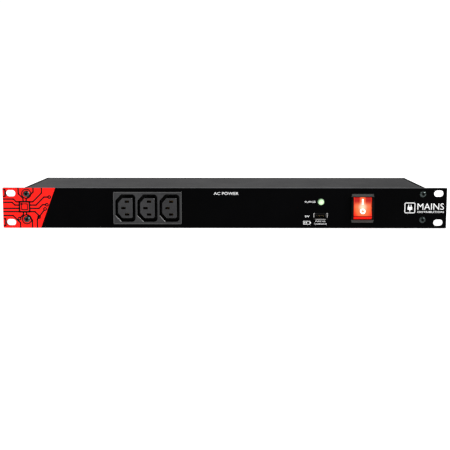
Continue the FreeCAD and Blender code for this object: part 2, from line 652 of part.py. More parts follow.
def breaker_spring():
    """Spring that throws the button out when the breaker trips."""
    start = REAR_INNER_Y - BREAKER_DEPTH + 2.3
    end = collar_y() - BUTTON_COLLAR_T
    return moved(coil(2.6, 0.35, end - start - 0.9, 6), BREAKER_X, start + 0.4, BREAKER_Z)


def breaker_terminals():
    """Two push-on blades that carry the fixed contacts."""
    wall = REAR_INNER_Y - BREAKER_DEPTH
    blades = []
    for z in (-THROW_Z, THROW_Z):
        inward = -1 if z > 0 else 1
        blade = bar(BREAKER_X, BREAKER_Z + z, TAB_BLADE_W, TAB_BLADE_T, wall - TAB_BLADE_L, wall + 9.0)
        seat = V(BREAKER_X, wall + 7.0, BREAKER_Z + z + 0.3 * inward)
        blades.append(join([blade, Part.makeCylinder(1.6, 0.8, seat, Z_AXIS * inward)]))
    return Part.makeCompound(blades)


# ---------------------------------------------------------------- rocker switch


def switch_housing():
    """Switch moulding: bezel bars, side guards, body, rocker well and pivot holes."""
    face = -PANEL_T
    bezel = prism(rounded(SWITCH_BAR_W, SWITCH_BEZEL_H, 0.8), face - SWITCH_BEZEL_T, face)
    bezel = edge_trim(bezel, 0.4, lambda edge: lies_at_y(edge, face - SWITCH_BEZEL_T))
    body = bar(0, 0, SWITCH_BODY_W, SWITCH_BODY_H, face, SWITCH_DEPTH)
    guard_x = ROCKER_W / 2 + ROCKER_GAP + GUARD_T / 2
    crest, shoulder, half = face - GUARD_PROUD, face - GUARD_PROUD + GUARD_SLOPE_Y, GUARD_H / 2
    guard = side_profile([
        (face - 0.1, -half), (shoulder, -half), (crest, GUARD_SLOPE_Z - half),
        (crest, half - GUARD_SLOPE_Z), (shoulder, half), (face - 0.1, half),
    ], GUARD_T)
    guards = [moved(guard, x=side * guard_x) for side in (-1, 1)]
    well_h = 2 * (ROCKER_R + ROCKER_GAP)
    well_w = ROCKER_W + 2 * ROCKER_GAP
    mouth = bar(0, 0, well_w, well_h, face - 8, ROCKER_PIVOT_Y)
    drum = Part.makeCylinder(well_h / 2, well_w, V(-well_w / 2, ROCKER_PIVOT_Y, 0), X_AXIS)
    chamber = bar(0, 0, well_w, well_h - 3.0, 0, SWITCH_DEPTH - 3.0)
    pivots = Part.makeCylinder(
        ROCKER_TRUNNION_R + TRUNNION_FIT, well_w + 3.0, V(-(well_w + 3.0) / 2, ROCKER_PIVOT_Y, 0), X_AXIS
    )
    slots = [
        bar(x, z, TAB_BLADE_W + 0.1, TAB_BLADE_T + 0.1, SWITCH_DEPTH - 4, SWITCH_DEPTH + 1)
        for x, z in switch_terminal_places()
    ]
    latches = []
    for side in (-1, 1):
        root, tip = side * (SWITCH_BODY_H / 2 - 0.3), side * (SWITCH_BODY_H / 2 + 0.9)
        latches.append(side_profile([(0.3, root), (0.3, tip), (5.0, root)], 6.0))
    shape = carve(join([bezel, body] + guards + latches), [mouth, drum, chamber, pivots] + slots)
    return moved(edge_round(shape, 0.4, lambda edge: lies_at_y(edge, face - GUARD_PROUD)), x=SWITCH_X)


def switch_terminal_places():
    """X and Z of the two supply and two load blades from the switch's centre."""
    return [(x, z) for x in (-POLE_OFFSET, POLE_OFFSET) for z in (0.0, -THROW_Z)]


def switch_rocker():
    """Rocker cap with two finger faces, curved ends, pivots, spring tubes and lamp holder."""
    slope = math.radians(ROCKER_TILT)
    far = 2 * ROCKER_R
    vertex = (ROCKER_PIVOT_Y - VERTEX_OFFSET, 0.0)
    wing_y = vertex[0] - far * math.tan(slope)
    back_y = ROCKER_PIVOT_Y + 3.0
    outline = [(back_y, -far), (wing_y, -far), vertex, (wing_y, far), (back_y, far)]
    drum = Part.makeCylinder(ROCKER_R, ROCKER_W, V(-ROCKER_W / 2, ROCKER_PIVOT_Y, 0), X_AXIS)
    solid = side_profile(outline, ROCKER_W).common(drum)
    wall = ROCKER_WALL
    core_outline = [
        (back_y + 1, -far), (wing_y + wall, -far), (vertex[0] + wall, 0.0), (wing_y + wall, far),
        (back_y + 1, far),
    ]
    core_drum = Part.makeCylinder(
        ROCKER_R - wall, ROCKER_W - 2 * wall, V(wall - ROCKER_W / 2, ROCKER_PIVOT_Y, 0), X_AXIS
    )
    shell = solid.cut(side_profile(core_outline, ROCKER_W - 2 * wall).common(core_drum))
    root = ROCKER_W / 2 - wall
    length = wall + ROCKER_GAP + TRUNNION_L
    trunnions = [
        Part.makeCylinder(ROCKER_TRUNNION_R, length, V(s * root, ROCKER_PIVOT_Y, 0), V(s, 0, 0))
        for s in (-1, 1)
    ]
    tubes = [
        rod(x, 0, 2.3, vertex[0] + wall - 0.4, ROCKER_PIVOT_Y + 5.5).cut(
            rod(x, 0, 1.7, ROCKER_PIVOT_Y + 0.2, ROCKER_PIVOT_Y + 6.5))
        for x in (-POLE_OFFSET, POLE_OFFSET)
    ]
    lamp_foot = V(0, ROCKER_PIVOT_Y + LAMP_OFFSET_Y, wall - ROCKER_R - 0.3)
    holder = Part.makeCylinder(LAMP_R + 0.7, LAMP_HOLDER_L, lamp_foot, Z_AXIS)
    lamp_seat = V(0, lamp_foot.y, LAMP_FOOT_Z - 0.05)
    holder = holder.cut(Part.makeCylinder(LAMP_R + 0.05, LAMP_L, lamp_seat, Z_AXIS))
    rocker = edge_round(join([shell, holder] + trunnions + tubes), 0.4, is_finger_edge)
    return moved(tilt_to_rest(rocker), x=SWITCH_X)


def is_finger_edge(edge):
    """True for the rocker's long front edges on its two sides."""
    limits = edge.BoundBox
    on_side = limits.XLength < 1e-4 and abs(abs(limits.XMin) - ROCKER_W / 2) < 1e-3
    return on_side and edge.Length > 2 * ROCKER_TRUNNION_R and limits.YMin < ROCKER_PIVOT_Y - 1.6


def tilt_to_rest(shape):
    """Turn a rocker part from level to its on position, upper half pressed in."""
    return turned(shape, X_AXIS, -ROCKER_TILT, V(0, ROCKER_PIVOT_Y, 0))


def switch_plungers():
    """Two round-tipped plungers in the rocker's tubes."""
    tip = ROCKER_PIVOT_Y + PLUNGER_REACH
    ball = Part.makeSphere(PLUNGER_R, V(0, tip - PLUNGER_R, 0))
    pin = join([rod(0, 0, PLUNGER_R, tip - PLUNGER_L, tip - PLUNGER_R), ball])
    return Part.makeCompound([
        moved(tilt_to_rest(pin), x=SWITCH_X + x) for x in (-POLE_OFFSET, POLE_OFFSET)
    ])


def switch_springs():
    """Two springs that push the plungers onto the levers."""
    length = PLUNGER_REACH - PLUNGER_L - 0.2 - 0.7
    spring = moved(coil(1.15, 0.22, length, 4), y=ROCKER_PIVOT_Y + 0.2 + 0.3)
    return Part.makeCompound([
        moved(tilt_to_rest(spring), x=SWITCH_X + x) for x in (-POLE_OFFSET, POLE_OFFSET)
    ])


def lever_pivot_y():
    """Y of the line that the contact levers rock about."""
    return ROCKER_PIVOT_Y + PLUNGER_REACH + 0.3 + LEVER_T + 0.6


def switch_levers():
    """Two contact levers, lower ends pressed onto the load contacts at rest."""
    pivot = lever_pivot_y()
    half = LEVER_L / 2
    plate = bar(0, -1.0, LEVER_W, LEVER_L + 2.0, pivot - 0.6 - LEVER_T, pivot - 0.6)
    saddle = Part.makeCylinder(1.1, LEVER_W, V(-LEVER_W / 2, pivot, 0), X_AXIS)
    saddle = saddle.cut(box(-LEVER_W, LEVER_W, pivot - 0.1, pivot + 3, -2, 2))
    tip = Part.makeCylinder(1.3, 0.7, V(0, pivot - 0.6, -half - 0.4), Y_AXIS)
    lever = join([plate, saddle, tip])
    lever = turned(lever, X_AXIS, LEVER_TILT, V(0, pivot, 0))
    return Part.makeCompound([moved(lever, x=SWITCH_X + x) for x in (-POLE_OFFSET, POLE_OFFSET)])


def switch_terminals():
    """Supply blades with knife pivots and load blades with contact pads."""
    end = SWITCH_DEPTH + TAB_BLADE_L
    pivot = lever_pivot_y()
    parts = []
    for x, z in switch_terminal_places():
        blade = bar(x, z, TAB_BLADE_W, TAB_BLADE_T, pivot + 2.9, end)
        if z == 0.0:
            nose = bar(x, z, LEVER_W, TAB_BLADE_T, pivot + 0.1, pivot + 3.0)
            parts.append(join([blade, nose]))
        else:
            shelf = bar(x, z + 1.3, LEVER_W, 3.4, pivot + 1.9, pivot + 3.4)
            pad = rod(x, z + 1.9, 1.3, pivot + 1.25, pivot + 2.0)
            parts.append(join([blade, shelf, pad]))
    return Part.makeCompound([moved(part, x=SWITCH_X) for part in parts])


def switch_lamp():
    """Neon lamp that lights the rocker, standing between the spring tubes."""
    y = ROCKER_PIVOT_Y + LAMP_OFFSET_Y
    glass = Part.makeCylinder(LAMP_R, LAMP_L, V(0, y, LAMP_FOOT_Z), Z_AXIS)
    tip = Part.makeSphere(LAMP_R, V(0, y, LAMP_FOOT_Z + LAMP_L))
    return moved(tilt_to_rest(join([glass, tip])), x=SWITCH_X)


# ---------------------------------------------------------------- lamp and charging socket


def led_lens():
    """Domed lens with a flange behind the panel."""
    dome = moved(domed_head(LED_R, 2.0, 0.3), y=-PANEL_T)
    barrel = rod(0, 0, LED_R, -PANEL_T - 0.01, 0.01)
    flange = rod(0, 0, LED_R + 1.2, 0, 1.2)
    sleeve = rod(0, 0, LED_R + 0.3, 1.1, 8.0)
    hollow = rod(0, 0, 2.7, -1.0, 9.0)
    return moved(carve(join([dome, barrel, flange, sleeve]), [hollow]), x=LED_X, z=LED_Z)


def led_lamp():
    """Light-emitting diode with two leads."""
    body = join([Part.makeSphere(2.5, V(0, 2.2, 0)), rod(0, 0, 2.5, 2.2, 7.0)])
    collar = rod(0, 0, 2.65, 6.0, 7.5)
    leads = [bar(s * 1.27, 0, 0.5, 0.5, 7.4, 14.0) for s in (-1, 1)]
    return moved(join([body, collar] + leads), x=LED_X, z=LED_Z)


def usb_flare(width, height):
    """Flared mouth of the charging socket as a solid wedge."""
    wide = profile([(x, z, 0.4) for x, z, _ in rounded(width + 2.0, height + 1.2, 0)])
    slim = profile([(x, z, 0.4) for x, z, _ in rounded(width, height, 0)])
    rims = [moved(wide, y=-PANEL_T - 0.3).OuterWire, moved(slim, y=-PANEL_T + 1.2).OuterWire]
    return moved(Part.makeLoft(rims, True), USB_X, 0, USB_Z)


def usb_shell():
    """Folded metal shell with a flared mouth and four feet."""
    outer_w, outer_h = USB_MOUTH_W + 2 * USB_SHELL_T, USB_MOUTH_H + 2 * USB_SHELL_T
    tube_y = -PANEL_T + 1.1
    shell = moved(prism(rounded(outer_w, outer_h, 0.6), tube_y, USB_SHELL_L - PANEL_T), USB_X, 0, USB_Z)
    hollow = prism(rounded(USB_MOUTH_W, USB_MOUTH_H, 0.4), tube_y - 3, usb_back_y())
    hollow = moved(hollow, USB_X, 0, USB_Z)
    skin = usb_flare(outer_w, outer_h).cut(usb_flare(USB_MOUTH_W, USB_MOUTH_H))
    low = USB_Z - outer_h / 2
    foot_x = (outer_w - USB_SHELL_T) / 2
    feet = [
        bar(USB_X + s * foot_x, low - 1.0, USB_SHELL_T, 2.8, y, y + USB_FOOT_L)
        for s in (-1, 1) for y in USB_FOOT_YS
    ]
    return join([skin, shell] + feet).cut(hollow)


def usb_back_y():
    """Y of the inside of the socket's closed end."""
    return USB_SHELL_L - PANEL_T - 0.4


def usb_tongue():
    """Insulating tongue that carries the four contacts."""
    back = usb_back_y()
    tongue = box(USB_X - 5.6, USB_X + 5.6, -PANEL_T + 1.5, back - 2.0, USB_Z + 0.5, USB_Z + 2.3)
    block = prism(rounded(USB_MOUTH_W - 0.1, USB_MOUTH_H - 0.1, 0.5), back - 2.2, back - 0.1)
    block = moved(block, USB_X, 0, USB_Z)
    grooves = [
        box(x - 0.55, x + 0.55, -PANEL_T + 2.0, back - 3.0, USB_Z + 0.2, USB_Z + 0.8)
        for x in usb_contact_xs()
    ]
    return carve(join([tongue, block]), grooves)


def usb_contact_xs():
    """X of the four contacts of the charging socket."""
    return [USB_X + (k - 1.5) * 2.3 for k in range(4)]


def usb_contacts():
    """Four contacts under the tongue."""
    back = usb_back_y()
    return Part.makeCompound([
        box(x - 0.5, x + 0.5, -PANEL_T + 2.1, back - 3.1, USB_Z + 0.35, USB_Z + 0.78)
        for x in usb_contact_xs()
    ])


def usb_board():
    """Small charger board under the socket."""
    top = USB_Z - USB_MOUTH_H / 2 - USB_SHELL_T
    plate = box(USB_X - 13, USB_X + 13, 1.8, 44.0, top - BOARD_T, top)
    foot_x = (USB_MOUTH_W + USB_SHELL_T) / 2
    feet = [
        bar(USB_X + s * foot_x, top - 1, 0.7, 6, y - 0.2, y + USB_FOOT_L + 0.2)
        for s in (-1, 1) for y in USB_FOOT_YS
    ]
    holes = [Part.makeCylinder(1.5, 6, V(x, y, top - 4), Z_AXIS) for x, y in charger_hole_places()]
    return carve(plate, feet + holes)


def charger_hole_places():
    """X and Y of the charger board's two fixing holes."""
    return [(USB_X + s * 10, 40.0) for s in (-1, 1)]


def usb_board_parts():
    """Transformer, capacitors and chip of the charger."""
    top = USB_Z - USB_MOUTH_H / 2 - USB_SHELL_T
    transformer = join([
        box(USB_X - 8, USB_X + 6, 22.0, 34.0, top, top + 3.0),
        box(USB_X - 7, USB_X + 5, 23.0, 33.0, top + 2.9, top + 9.0),
        box(USB_X - 8, USB_X + 6, 22.0, 34.0, top + 8.9, top + 10.5),
    ])
    cans = [Part.makeCylinder(2.5, 8.0, V(USB_X + 9.5, y, top), Z_AXIS) for y in (18.0, 26.0)]
    chip = box(USB_X - 10, USB_X - 5, 14.5, 18.5, top, top + 1.5)
    return Part.makeCompound([transformer] + cans + [chip])


# ---------------------------------------------------------------- surge and filter board


def board_top():
    """Z of the surge board's upper face."""
    return FLOOR_Z + BOARD_LIFT + BOARD_T


def board_hole_places():
    """X and Y of the board's four fixing holes."""
    return [(x, y) for x in (BOARD_X0 + 4, BOARD_X1 - 4) for y in (BOARD_Y0 + 4, BOARD_Y1 - 4)]


def surge_board():
    """Printed circuit board with fixing holes."""
    plate = box(BOARD_X0, BOARD_X1, BOARD_Y0, BOARD_Y1, board_top() - BOARD_T, board_top())
    holes = [Part.makeCylinder(1.6, 6, V(x, y, board_top() - 3), Z_AXIS) for x, y in board_hole_places()]
    return carve(plate, holes)


def pillars(places, height, radius=2.6):
    """Round spacers that stand on the floor, with a blind thread."""
    posts = []
    for x, y in places:
        post = Part.makeCylinder(radius, height, V(x, y, FLOOR_Z), Z_AXIS)
        posts.append(post.cut(Part.makeCylinder(1.3, height - 1.0, V(x, y, FLOOR_Z + 1.0), Z_AXIS)))
    return posts


def board_spacers():
    """Spacers under the surge board and the charger board."""
    charger_low = USB_Z - USB_MOUTH_H / 2 - USB_SHELL_T - BOARD_T
    posts = pillars(charger_hole_places(), charger_low - FLOOR_Z)
    return Part.makeCompound(pillars(board_hole_places(), BOARD_LIFT) + posts)


def board_screws():
    """Screws that hold both boards to their spacers."""
    head_t = 1.6
    solid = join([domed_head(2.4, head_t, 0.6), rod(0, 0, 1.25, 0, 4.5)])
    screw = turned(solid.cut(cross_recess(0.9, -head_t)), X_AXIS, -90)
    charger_top = USB_Z - USB_MOUTH_H / 2 - USB_SHELL_T
    screws = [moved(screw, x, y, board_top()) for x, y in board_hole_places()]
    return Part.makeCompound(screws + [moved(screw, x, y, charger_top) for x, y in charger_hole_places()])


def surge_varistors():
    """Three varistor discs standing on the board."""
    discs = []
    for k in range(3):
        y = 18.0 + 9.0 * k
        disc = Part.makeCylinder(7.0, 4.6, V(-24, y, board_top() + 8.0), Y_AXIS)
        legs = [Part.makeCylinder(0.4, 4.0, V(-24 + s * 3.75, y + 2.3, board_top()), Z_AXIS) for s in (-1, 1)]
        discs.append(join([disc] + legs))
    return Part.makeCompound(discs)


def surge_capacitors():
    """Boxed filter capacitors, two large and two small."""
    top = board_top()
    large = [box(-12, 14, y, y + 10.0, top, top + 17.0) for y in (13.0, 32.0)]
    small = [box(53, 57, y, y + 10.0, top, top + 8.0) for y in (14.0, 30.0)]
    return Part.makeCompound(large + small)


def choke_centre():
    """Centre of the choke's ring."""
    return V(34.0, 27.0, board_top() + 6.5)


def surge_choke_core():
    """Ring core of the choke, lying flat."""
    centre = choke_centre()
    outer = Part.makeCylinder(12.0, 9.0, centre - V(0, 0, 4.5), Z_AXIS)
    return outer.cut(Part.makeCylinder(7.0, 11.0, centre - V(0, 0, 5.5), Z_AXIS))


def surge_choke_windings():
    """Two windings of separate turns around the ring core."""
    centre = choke_centre()
    loop_outer = bar(0, 0, 7.4, 11.4, -0.5, 0.5)
    loop = moved(loop_outer.cut(bar(0, 0, 5.2, 9.2, -1, 1)), x=9.5)
    turns = []
    for side in (0, 180):
        for k in range(7):
            turns.append(moved(turned(loop, Z_AXIS, side + (k - 3) * 13.0), centre.x, centre.y, centre.z))
    return Part.makeCompound(turns)


def pole_xs():
    """X of each pole of the terminal block, from left to right."""
    return [BLOCK_X + (k - (BLOCK_POLES - 1) / 2) * BLOCK_PITCH for k in range(BLOCK_POLES)]


def terminal_block():
    """Screw terminal block with wire mouths towards the rear."""
    top = board_top()
    width = BLOCK_POLES * BLOCK_PITCH
    outline = [
        (BOARD_Y1, top), (BOARD_Y1, BLOCK_WIRE_Z + 3.0), (BOARD_Y1 - 3.0, BLOCK_WIRE_Z + 6.0),
        (BOARD_Y1 - 10.0, BLOCK_WIRE_Z + 6.0), (BOARD_Y1 - 10.0, top),
    ]
    body = moved(side_profile(outline, width), x=BLOCK_X)
    mouths = [rod(x, BLOCK_WIRE_Z, WIRE_R + 0.05, BOARD_Y1 - 6.0, BOARD_Y1 + 1) for x in pole_xs()]
    wells = [Part.makeCylinder(2.0, 3.0, V(x, BOARD_Y1 - 6.5, BLOCK_WIRE_Z + 3.5), Z_AXIS) for x in pole_xs()]
    return carve(body, mouths + wells)


# ---------------------------------------------------------------- earth studs, connectors, wires


def earth_studs():
    """Two welded studs, each with a flange nut."""
    parts = []
    for x, y in (MAIN_STUD, BOARD_STUD):
        parts.append(Part.makeCylinder(M4_R, 10.0, V(x, y, FLOOR_Z), Z_AXIS))
    return Part.makeCompound(parts)


def hex_nut(across, height, bore):
    """Hexagon nut along Z from z = 0."""
    return hexagon(across / math.sqrt(3), height).cut(Part.makeCylinder(bore, height, HOME, Z_AXIS))


def earth_nuts():
    """Nuts that clamp the ring terminals."""
    nut = hex_nut(7.0, 3.2, M4_R + THREAD_GAP)
    main_z, board_z = FLOOR_Z + 2 * RING_T, FLOOR_Z + RING_T
    return Part.makeCompound([
        moved(nut, MAIN_STUD[0], MAIN_STUD[1], main_z), moved(nut, BOARD_STUD[0], BOARD_STUD[1], board_z)
    ])


def ring_terminal(wire_lift):
    """Ring terminal pointing along +X with a raised crimp barrel."""
    ring = Part.makeCylinder(RING_R, RING_T, HOME, Z_AXIS)
    neck = box(0, RING_REACH + 0.6, -1.8, 1.8, 0, RING_T)
    step = box(RING_REACH - 0.2, RING_REACH + 0.6, -1.8, 1.8, 0, wire_lift)
    barrel = Part.makeCylinder(BARREL_R, RING_BARREL_L, V(RING_REACH, 0, wire_lift), X_AXIS)
    bores = [
        Part.makeCylinder(M4_R + 0.1, 4, V(0, 0, -1), Z_AXIS),
        Part.makeCylinder(WIRE_R + 0.05, RING_BARREL_L, V(RING_REACH + 0.7, 0, wire_lift), X_AXIS),
    ]
    return carve(join([ring, neck, step, barrel]), bores)


def ring_places():
    """Stud, lift, height and facing of each ring terminal."""
    return [
        (MAIN_STUD, 0.0, RING_WIRE_Z, 90.0),
        (MAIN_STUD, RING_T, RING_WIRE_Z, -90.0),
        (BOARD_STUD, 0.0, RING_WIRE_Z, 0.0),
    ]


def earth_rings():
    """Ring terminals on the two studs."""
    rings = []
    for (x, y), lift, height, facing in ring_places():
        rings.append(moved(turned(ring_terminal(height), Z_AXIS, facing), x, y, FLOOR_Z + lift))
    return Part.makeCompound(rings)


def connector():
    """Insulated push-on connector along +Y, its mouth at y = 0."""
    sleeve = prism(rounded(SLEEVE_W, SLEEVE_H, 1.2), 0, SLEEVE_L)
    barrel = rod(0, 0, BARREL_R, SLEEVE_L - 0.1, SLEEVE_L + BARREL_L)
    slot = bar(0, 0, TAB_BLADE_W + 0.1, TAB_BLADE_T + 0.1, -1, TAB_BLADE_L - CONNECTOR_LIFT + 0.3)
    bore = rod(0, 0, WIRE_R + 0.05, WIRE_SEAT, SLEEVE_L + BARREL_L + 1)
    return carve(join([sleeve, barrel]), [slot, bore])


def blade_seats():
    """Name, base point, direction along Y and upright flag of each used blade."""
    front_y = -PANEL_T - BEZEL_T + BODY_DEPTH + BACK_COVER_T
    rear_y = REAR_Y + BEZEL_T - BODY_DEPTH - BACK_COVER_T
    seats = {}
    for bus, z in (("line", -PIN_SPREAD), ("earth", 0.0), ("neutral", PIN_SPREAD)):
        seats["front_" + bus] = (V(FRONT_MODULE_X - FRONT_TAB_OFFSET, front_y, z), 1, False)
        for letter, centre in (("a", REAR_A_X), ("b", REAR_B_X)):
            for end, side in (("right", 1), ("left", -1)):
                place = V(centre + side * REAR_TAB_OFFSET, rear_y, z + REAR_MODULE_Z)
                seats["rear_%s_%s_%s" % (letter, bus, end)] = (place, -1, False)
    for pole, side in (("line", -1), ("neutral", 1)):
        x = SWITCH_X + side * POLE_OFFSET
        seats["switch_%s_in" % pole] = (V(x, SWITCH_DEPTH, 0), 1, False)
        seats["switch_%s_out" % pole] = (V(x, SWITCH_DEPTH, -THROW_Z), 1, False)
    breaker_y = REAR_INNER_Y - BREAKER_DEPTH
    seats["breaker_in"] = (V(BREAKER_X, breaker_y, BREAKER_Z - THROW_Z), -1, False)
    seats["breaker_out"] = (V(BREAKER_X, breaker_y, BREAKER_Z + THROW_Z), -1, False)
    for name, (x, z) in zip(("line", "neutral", "earth"), inlet_pin_places()):
        seats["inlet_" + name] = (V(INLET_X + x, REAR_Y - INLET_BODY_DEPTH, INLET_Z + z), -1, True)
    return seats


def spade_connectors():
    """A push-on connector on every used blade."""
    parts = []
    for point, facing, upright in blade_seats().values():
        shape = turned(connector(), Y_AXIS, 90) if upright else connector()
        shape = moved(shape, y=CONNECTOR_LIFT)
        if facing < 0:
            shape = turned(shape, Z_AXIS, 180)
        parts.append(moved(shape, point.x, point.y, point.z))
    return Part.makeCompound(parts)


def wire_ends():
    """Start point and outward direction of a wire at each terminal."""
    ends = {}
    for name, (point, facing, _) in blade_seats().items():
        out = V(0, facing, 0)
        ends[name] = (point + out * (CONNECTOR_LIFT + WIRE_SEAT), out)
    names = ("spare", "line_out", "neutral_out", "board_earth", "neutral_in", "line_in")
    for name, x in zip(names, pole_xs()):
        ends["block_" + name] = (V(x, BOARD_Y1 - 6.0, BLOCK_WIRE_Z), Y_AXIS)
    for name, (stud, lift, height, facing) in zip(("stud_inlet", "stud_rear", "stud_board"), ring_places()):
        turn = math.radians(facing)
        out = V(math.cos(turn), math.sin(turn), 0)
        place = V(stud[0], stud[1], FLOOR_Z + lift + height) + out * (RING_REACH + 0.7)
        ends[name] = (place, out)
    return ends


def bend_piece(before, corner, after, radius):
    """Arc of wire at a corner, and how far it reaches along each run."""
    into, onward = (corner - before).normalize(), (after - corner).normalize()
    half_turn = into.getAngle(onward) / 2
    reach = 0.45 * min((corner - before).Length, (after - corner).Length)
    reach = min(reach, WIRE_BEND * math.tan(half_turn))
    bend_r = reach / math.tan(half_turn)
    start = corner - into * reach
    axis = into.cross(onward).normalize()
    centre = start + axis.cross(into) * bend_r
    ring = Part.Face(Part.Wire(Part.makeCircle(radius, start, into)))
    return ring.revolve(centre, axis, math.degrees(2 * half_turn)), reach


def turning_points(points):
    """Path without the points that lie on a straight run."""
    kept = [points[0]]
    for here, after in zip(points[1:], points[2:]):
        if (here - kept[-1]).getAngle(after - here) > 0.01:
            kept.append(here)
    return kept + [points[-1]]


def tube(path, radius):
    """Round wire as straight runs joined by tangent arcs."""
    points = turning_points(path)
    pieces, start = [], points[0]
    for before, corner, after in zip(points, points[1:], points[2:]):
        arc, reach = bend_piece(before, corner, after, radius)
        into, onward = (corner - before).normalize(), (after - corner).normalize()
        pieces.append(Part.makeCylinder(radius, (corner - into * reach - start).Length, start, into))
        pieces.append(arc)
        start = corner + onward * reach
    last = points[-1] - start
    pieces.append(Part.makeCylinder(radius, last.Length, start, last))
    return join(pieces)


def wire(first, via, second, radius=WIRE_R):
    """Wire between two named terminals, leaving each one straight."""
    ends = wire_ends()
    (start, out), (finish, back) = ends[first], ends[second]
    clear = BARREL_L + WIRE_LEAD
    points = [start, start + out * clear] + [V(*place) for place in via] + [finish + back * clear, finish]
    return tube(points, radius)


def line_wires():
    """Live wires from the inlet through the breaker and switch to every outlet."""
    low_z, high_z = BREAKER_Z - THROW_Z, BREAKER_Z + THROW_Z
    bus_x, bus_z = REAR_A_X + REAR_TAB_OFFSET, REAR_MODULE_Z - PIN_SPREAD
    inlet_x, pole_x = INLET_X - PIN_SPREAD, SWITCH_X - POLE_OFFSET
    block_in, block_out = pole_xs()[5], pole_xs()[1]
    return Part.makeCompound([
        wire("inlet_line", [(inlet_x, 95, low_z), (inlet_x, 85, low_z), (BREAKER_X, 85, low_z)], "breaker_in"),
        wire("breaker_out", [(BREAKER_X, 80, high_z), (pole_x, 60, 0)], "switch_line_in"),
        wire("switch_line_out", [(pole_x, 70, -THROW_Z), (block_in, 72, BLOCK_WIRE_Z)], "block_line_in"),
        wire("block_line_out", [(block_out, 86, BLOCK_WIRE_Z), (bus_x, 86, bus_z)], "rear_a_line_right"),
    ] + bus_links("line", -PIN_SPREAD))


def neutral_wires():
    """Neutral wires from the inlet through the switch to every outlet."""
    bus_x, bus_z = REAR_A_X + REAR_TAB_OFFSET, REAR_MODULE_Z + PIN_SPREAD
    inlet_x, pin_z, pole_x = INLET_X + PIN_SPREAD, INLET_Z + PIN_LIVE_Z, SWITCH_X + POLE_OFFSET
    block_in, block_out = pole_xs()[4], pole_xs()[2]
    return Part.makeCompound([
        wire("inlet_neutral", [(inlet_x, 72, pin_z), (pole_x, 60, 0)], "switch_neutral_in"),
        wire("switch_neutral_out", [(pole_x, 76, -THROW_Z), (block_in, 78, BLOCK_WIRE_Z)], "block_neutral_in"),
        wire("block_neutral_out", [(block_out, 70, -4), (block_out + 4, 84, bus_z), (bus_x, 84, bus_z)],
             "rear_a_neutral_right"),
    ] + bus_links("neutral", PIN_SPREAD))


def earth_wires():
    """Earth wires from the inlet to the studs and every outlet."""
    floor_z = FLOOR_Z + RING_WIRE_Z
    inlet_x, stud_x = INLET_X, MAIN_STUD[0]
    tab_x, bus_z = REAR_A_X + REAR_TAB_OFFSET, REAR_MODULE_Z
    over_floor = [(stud_x - 5, 50, floor_z), (tab_x + 16, 54, floor_z), (tab_x + 12, 84, floor_z + 2)]
    block_x = pole_xs()[3]
    return Part.makeCompound([
        wire("inlet_earth", [(inlet_x, 97, floor_z), (stud_x, 97, floor_z)], "stud_inlet"),
        wire("stud_rear", over_floor + [(tab_x + 8, 92, bus_z), (tab_x, 95, bus_z)], "rear_a_earth_right"),
        wire("block_board_earth", [(block_x, 72, floor_z), (block_x - 6, BOARD_STUD[1], floor_z)], "stud_board"),
    ] + bus_links("earth", 0.0))


def bus_links(bus, z):
    """Wires from the first rear module to the second, and on to the front module."""
    rear_z, lane_y = z + REAR_MODULE_Z, 94
    a_x, front_x = REAR_A_X - REAR_TAB_OFFSET, FRONT_MODULE_X - FRONT_TAB_OFFSET
    b_left, b_right = REAR_B_X - REAR_TAB_OFFSET, REAR_B_X + REAR_TAB_OFFSET
    across = [(a_x, lane_y, rear_z), (b_right, lane_y, rear_z)]
    return [
        wire("rear_a_%s_left" % bus, across, "rear_b_%s_right" % bus),
        wire("rear_b_%s_left" % bus, [(b_left, 84, rear_z), (front_x, 60, z)], "front_%s" % bus),
    ]


def signal_wires():
    """Thin wires from the surge board to the lamp and the charger board."""
    board_z = board_top()
    charger_z = USB_Z - USB_MOUTH_H / 2 - USB_SHELL_T
    wires = []
    for k, side in enumerate((-1, 1)):
        shift = 3.0 * k
        wires.append(tube([
            V(LED_X + side * 1.27, 14.0, LED_Z), V(LED_X + side * 1.27, 26 + shift, LED_Z),
            V(84, 34 + shift, 2), V(66, 24 + shift, -2), V(66, 24 + shift, board_z),
        ], THIN_WIRE_R))
        wires.append(tube([
            V(USB_X - 4 + shift, 38, charger_z), V(USB_X - 4 + shift, 38, -6 + shift),
            V(84, 44, -7 + shift), V(66, 40 + shift, -6), V(66, 40 + shift, board_z),
        ], THIN_WIRE_R))
    return Part.makeCompound(wires)


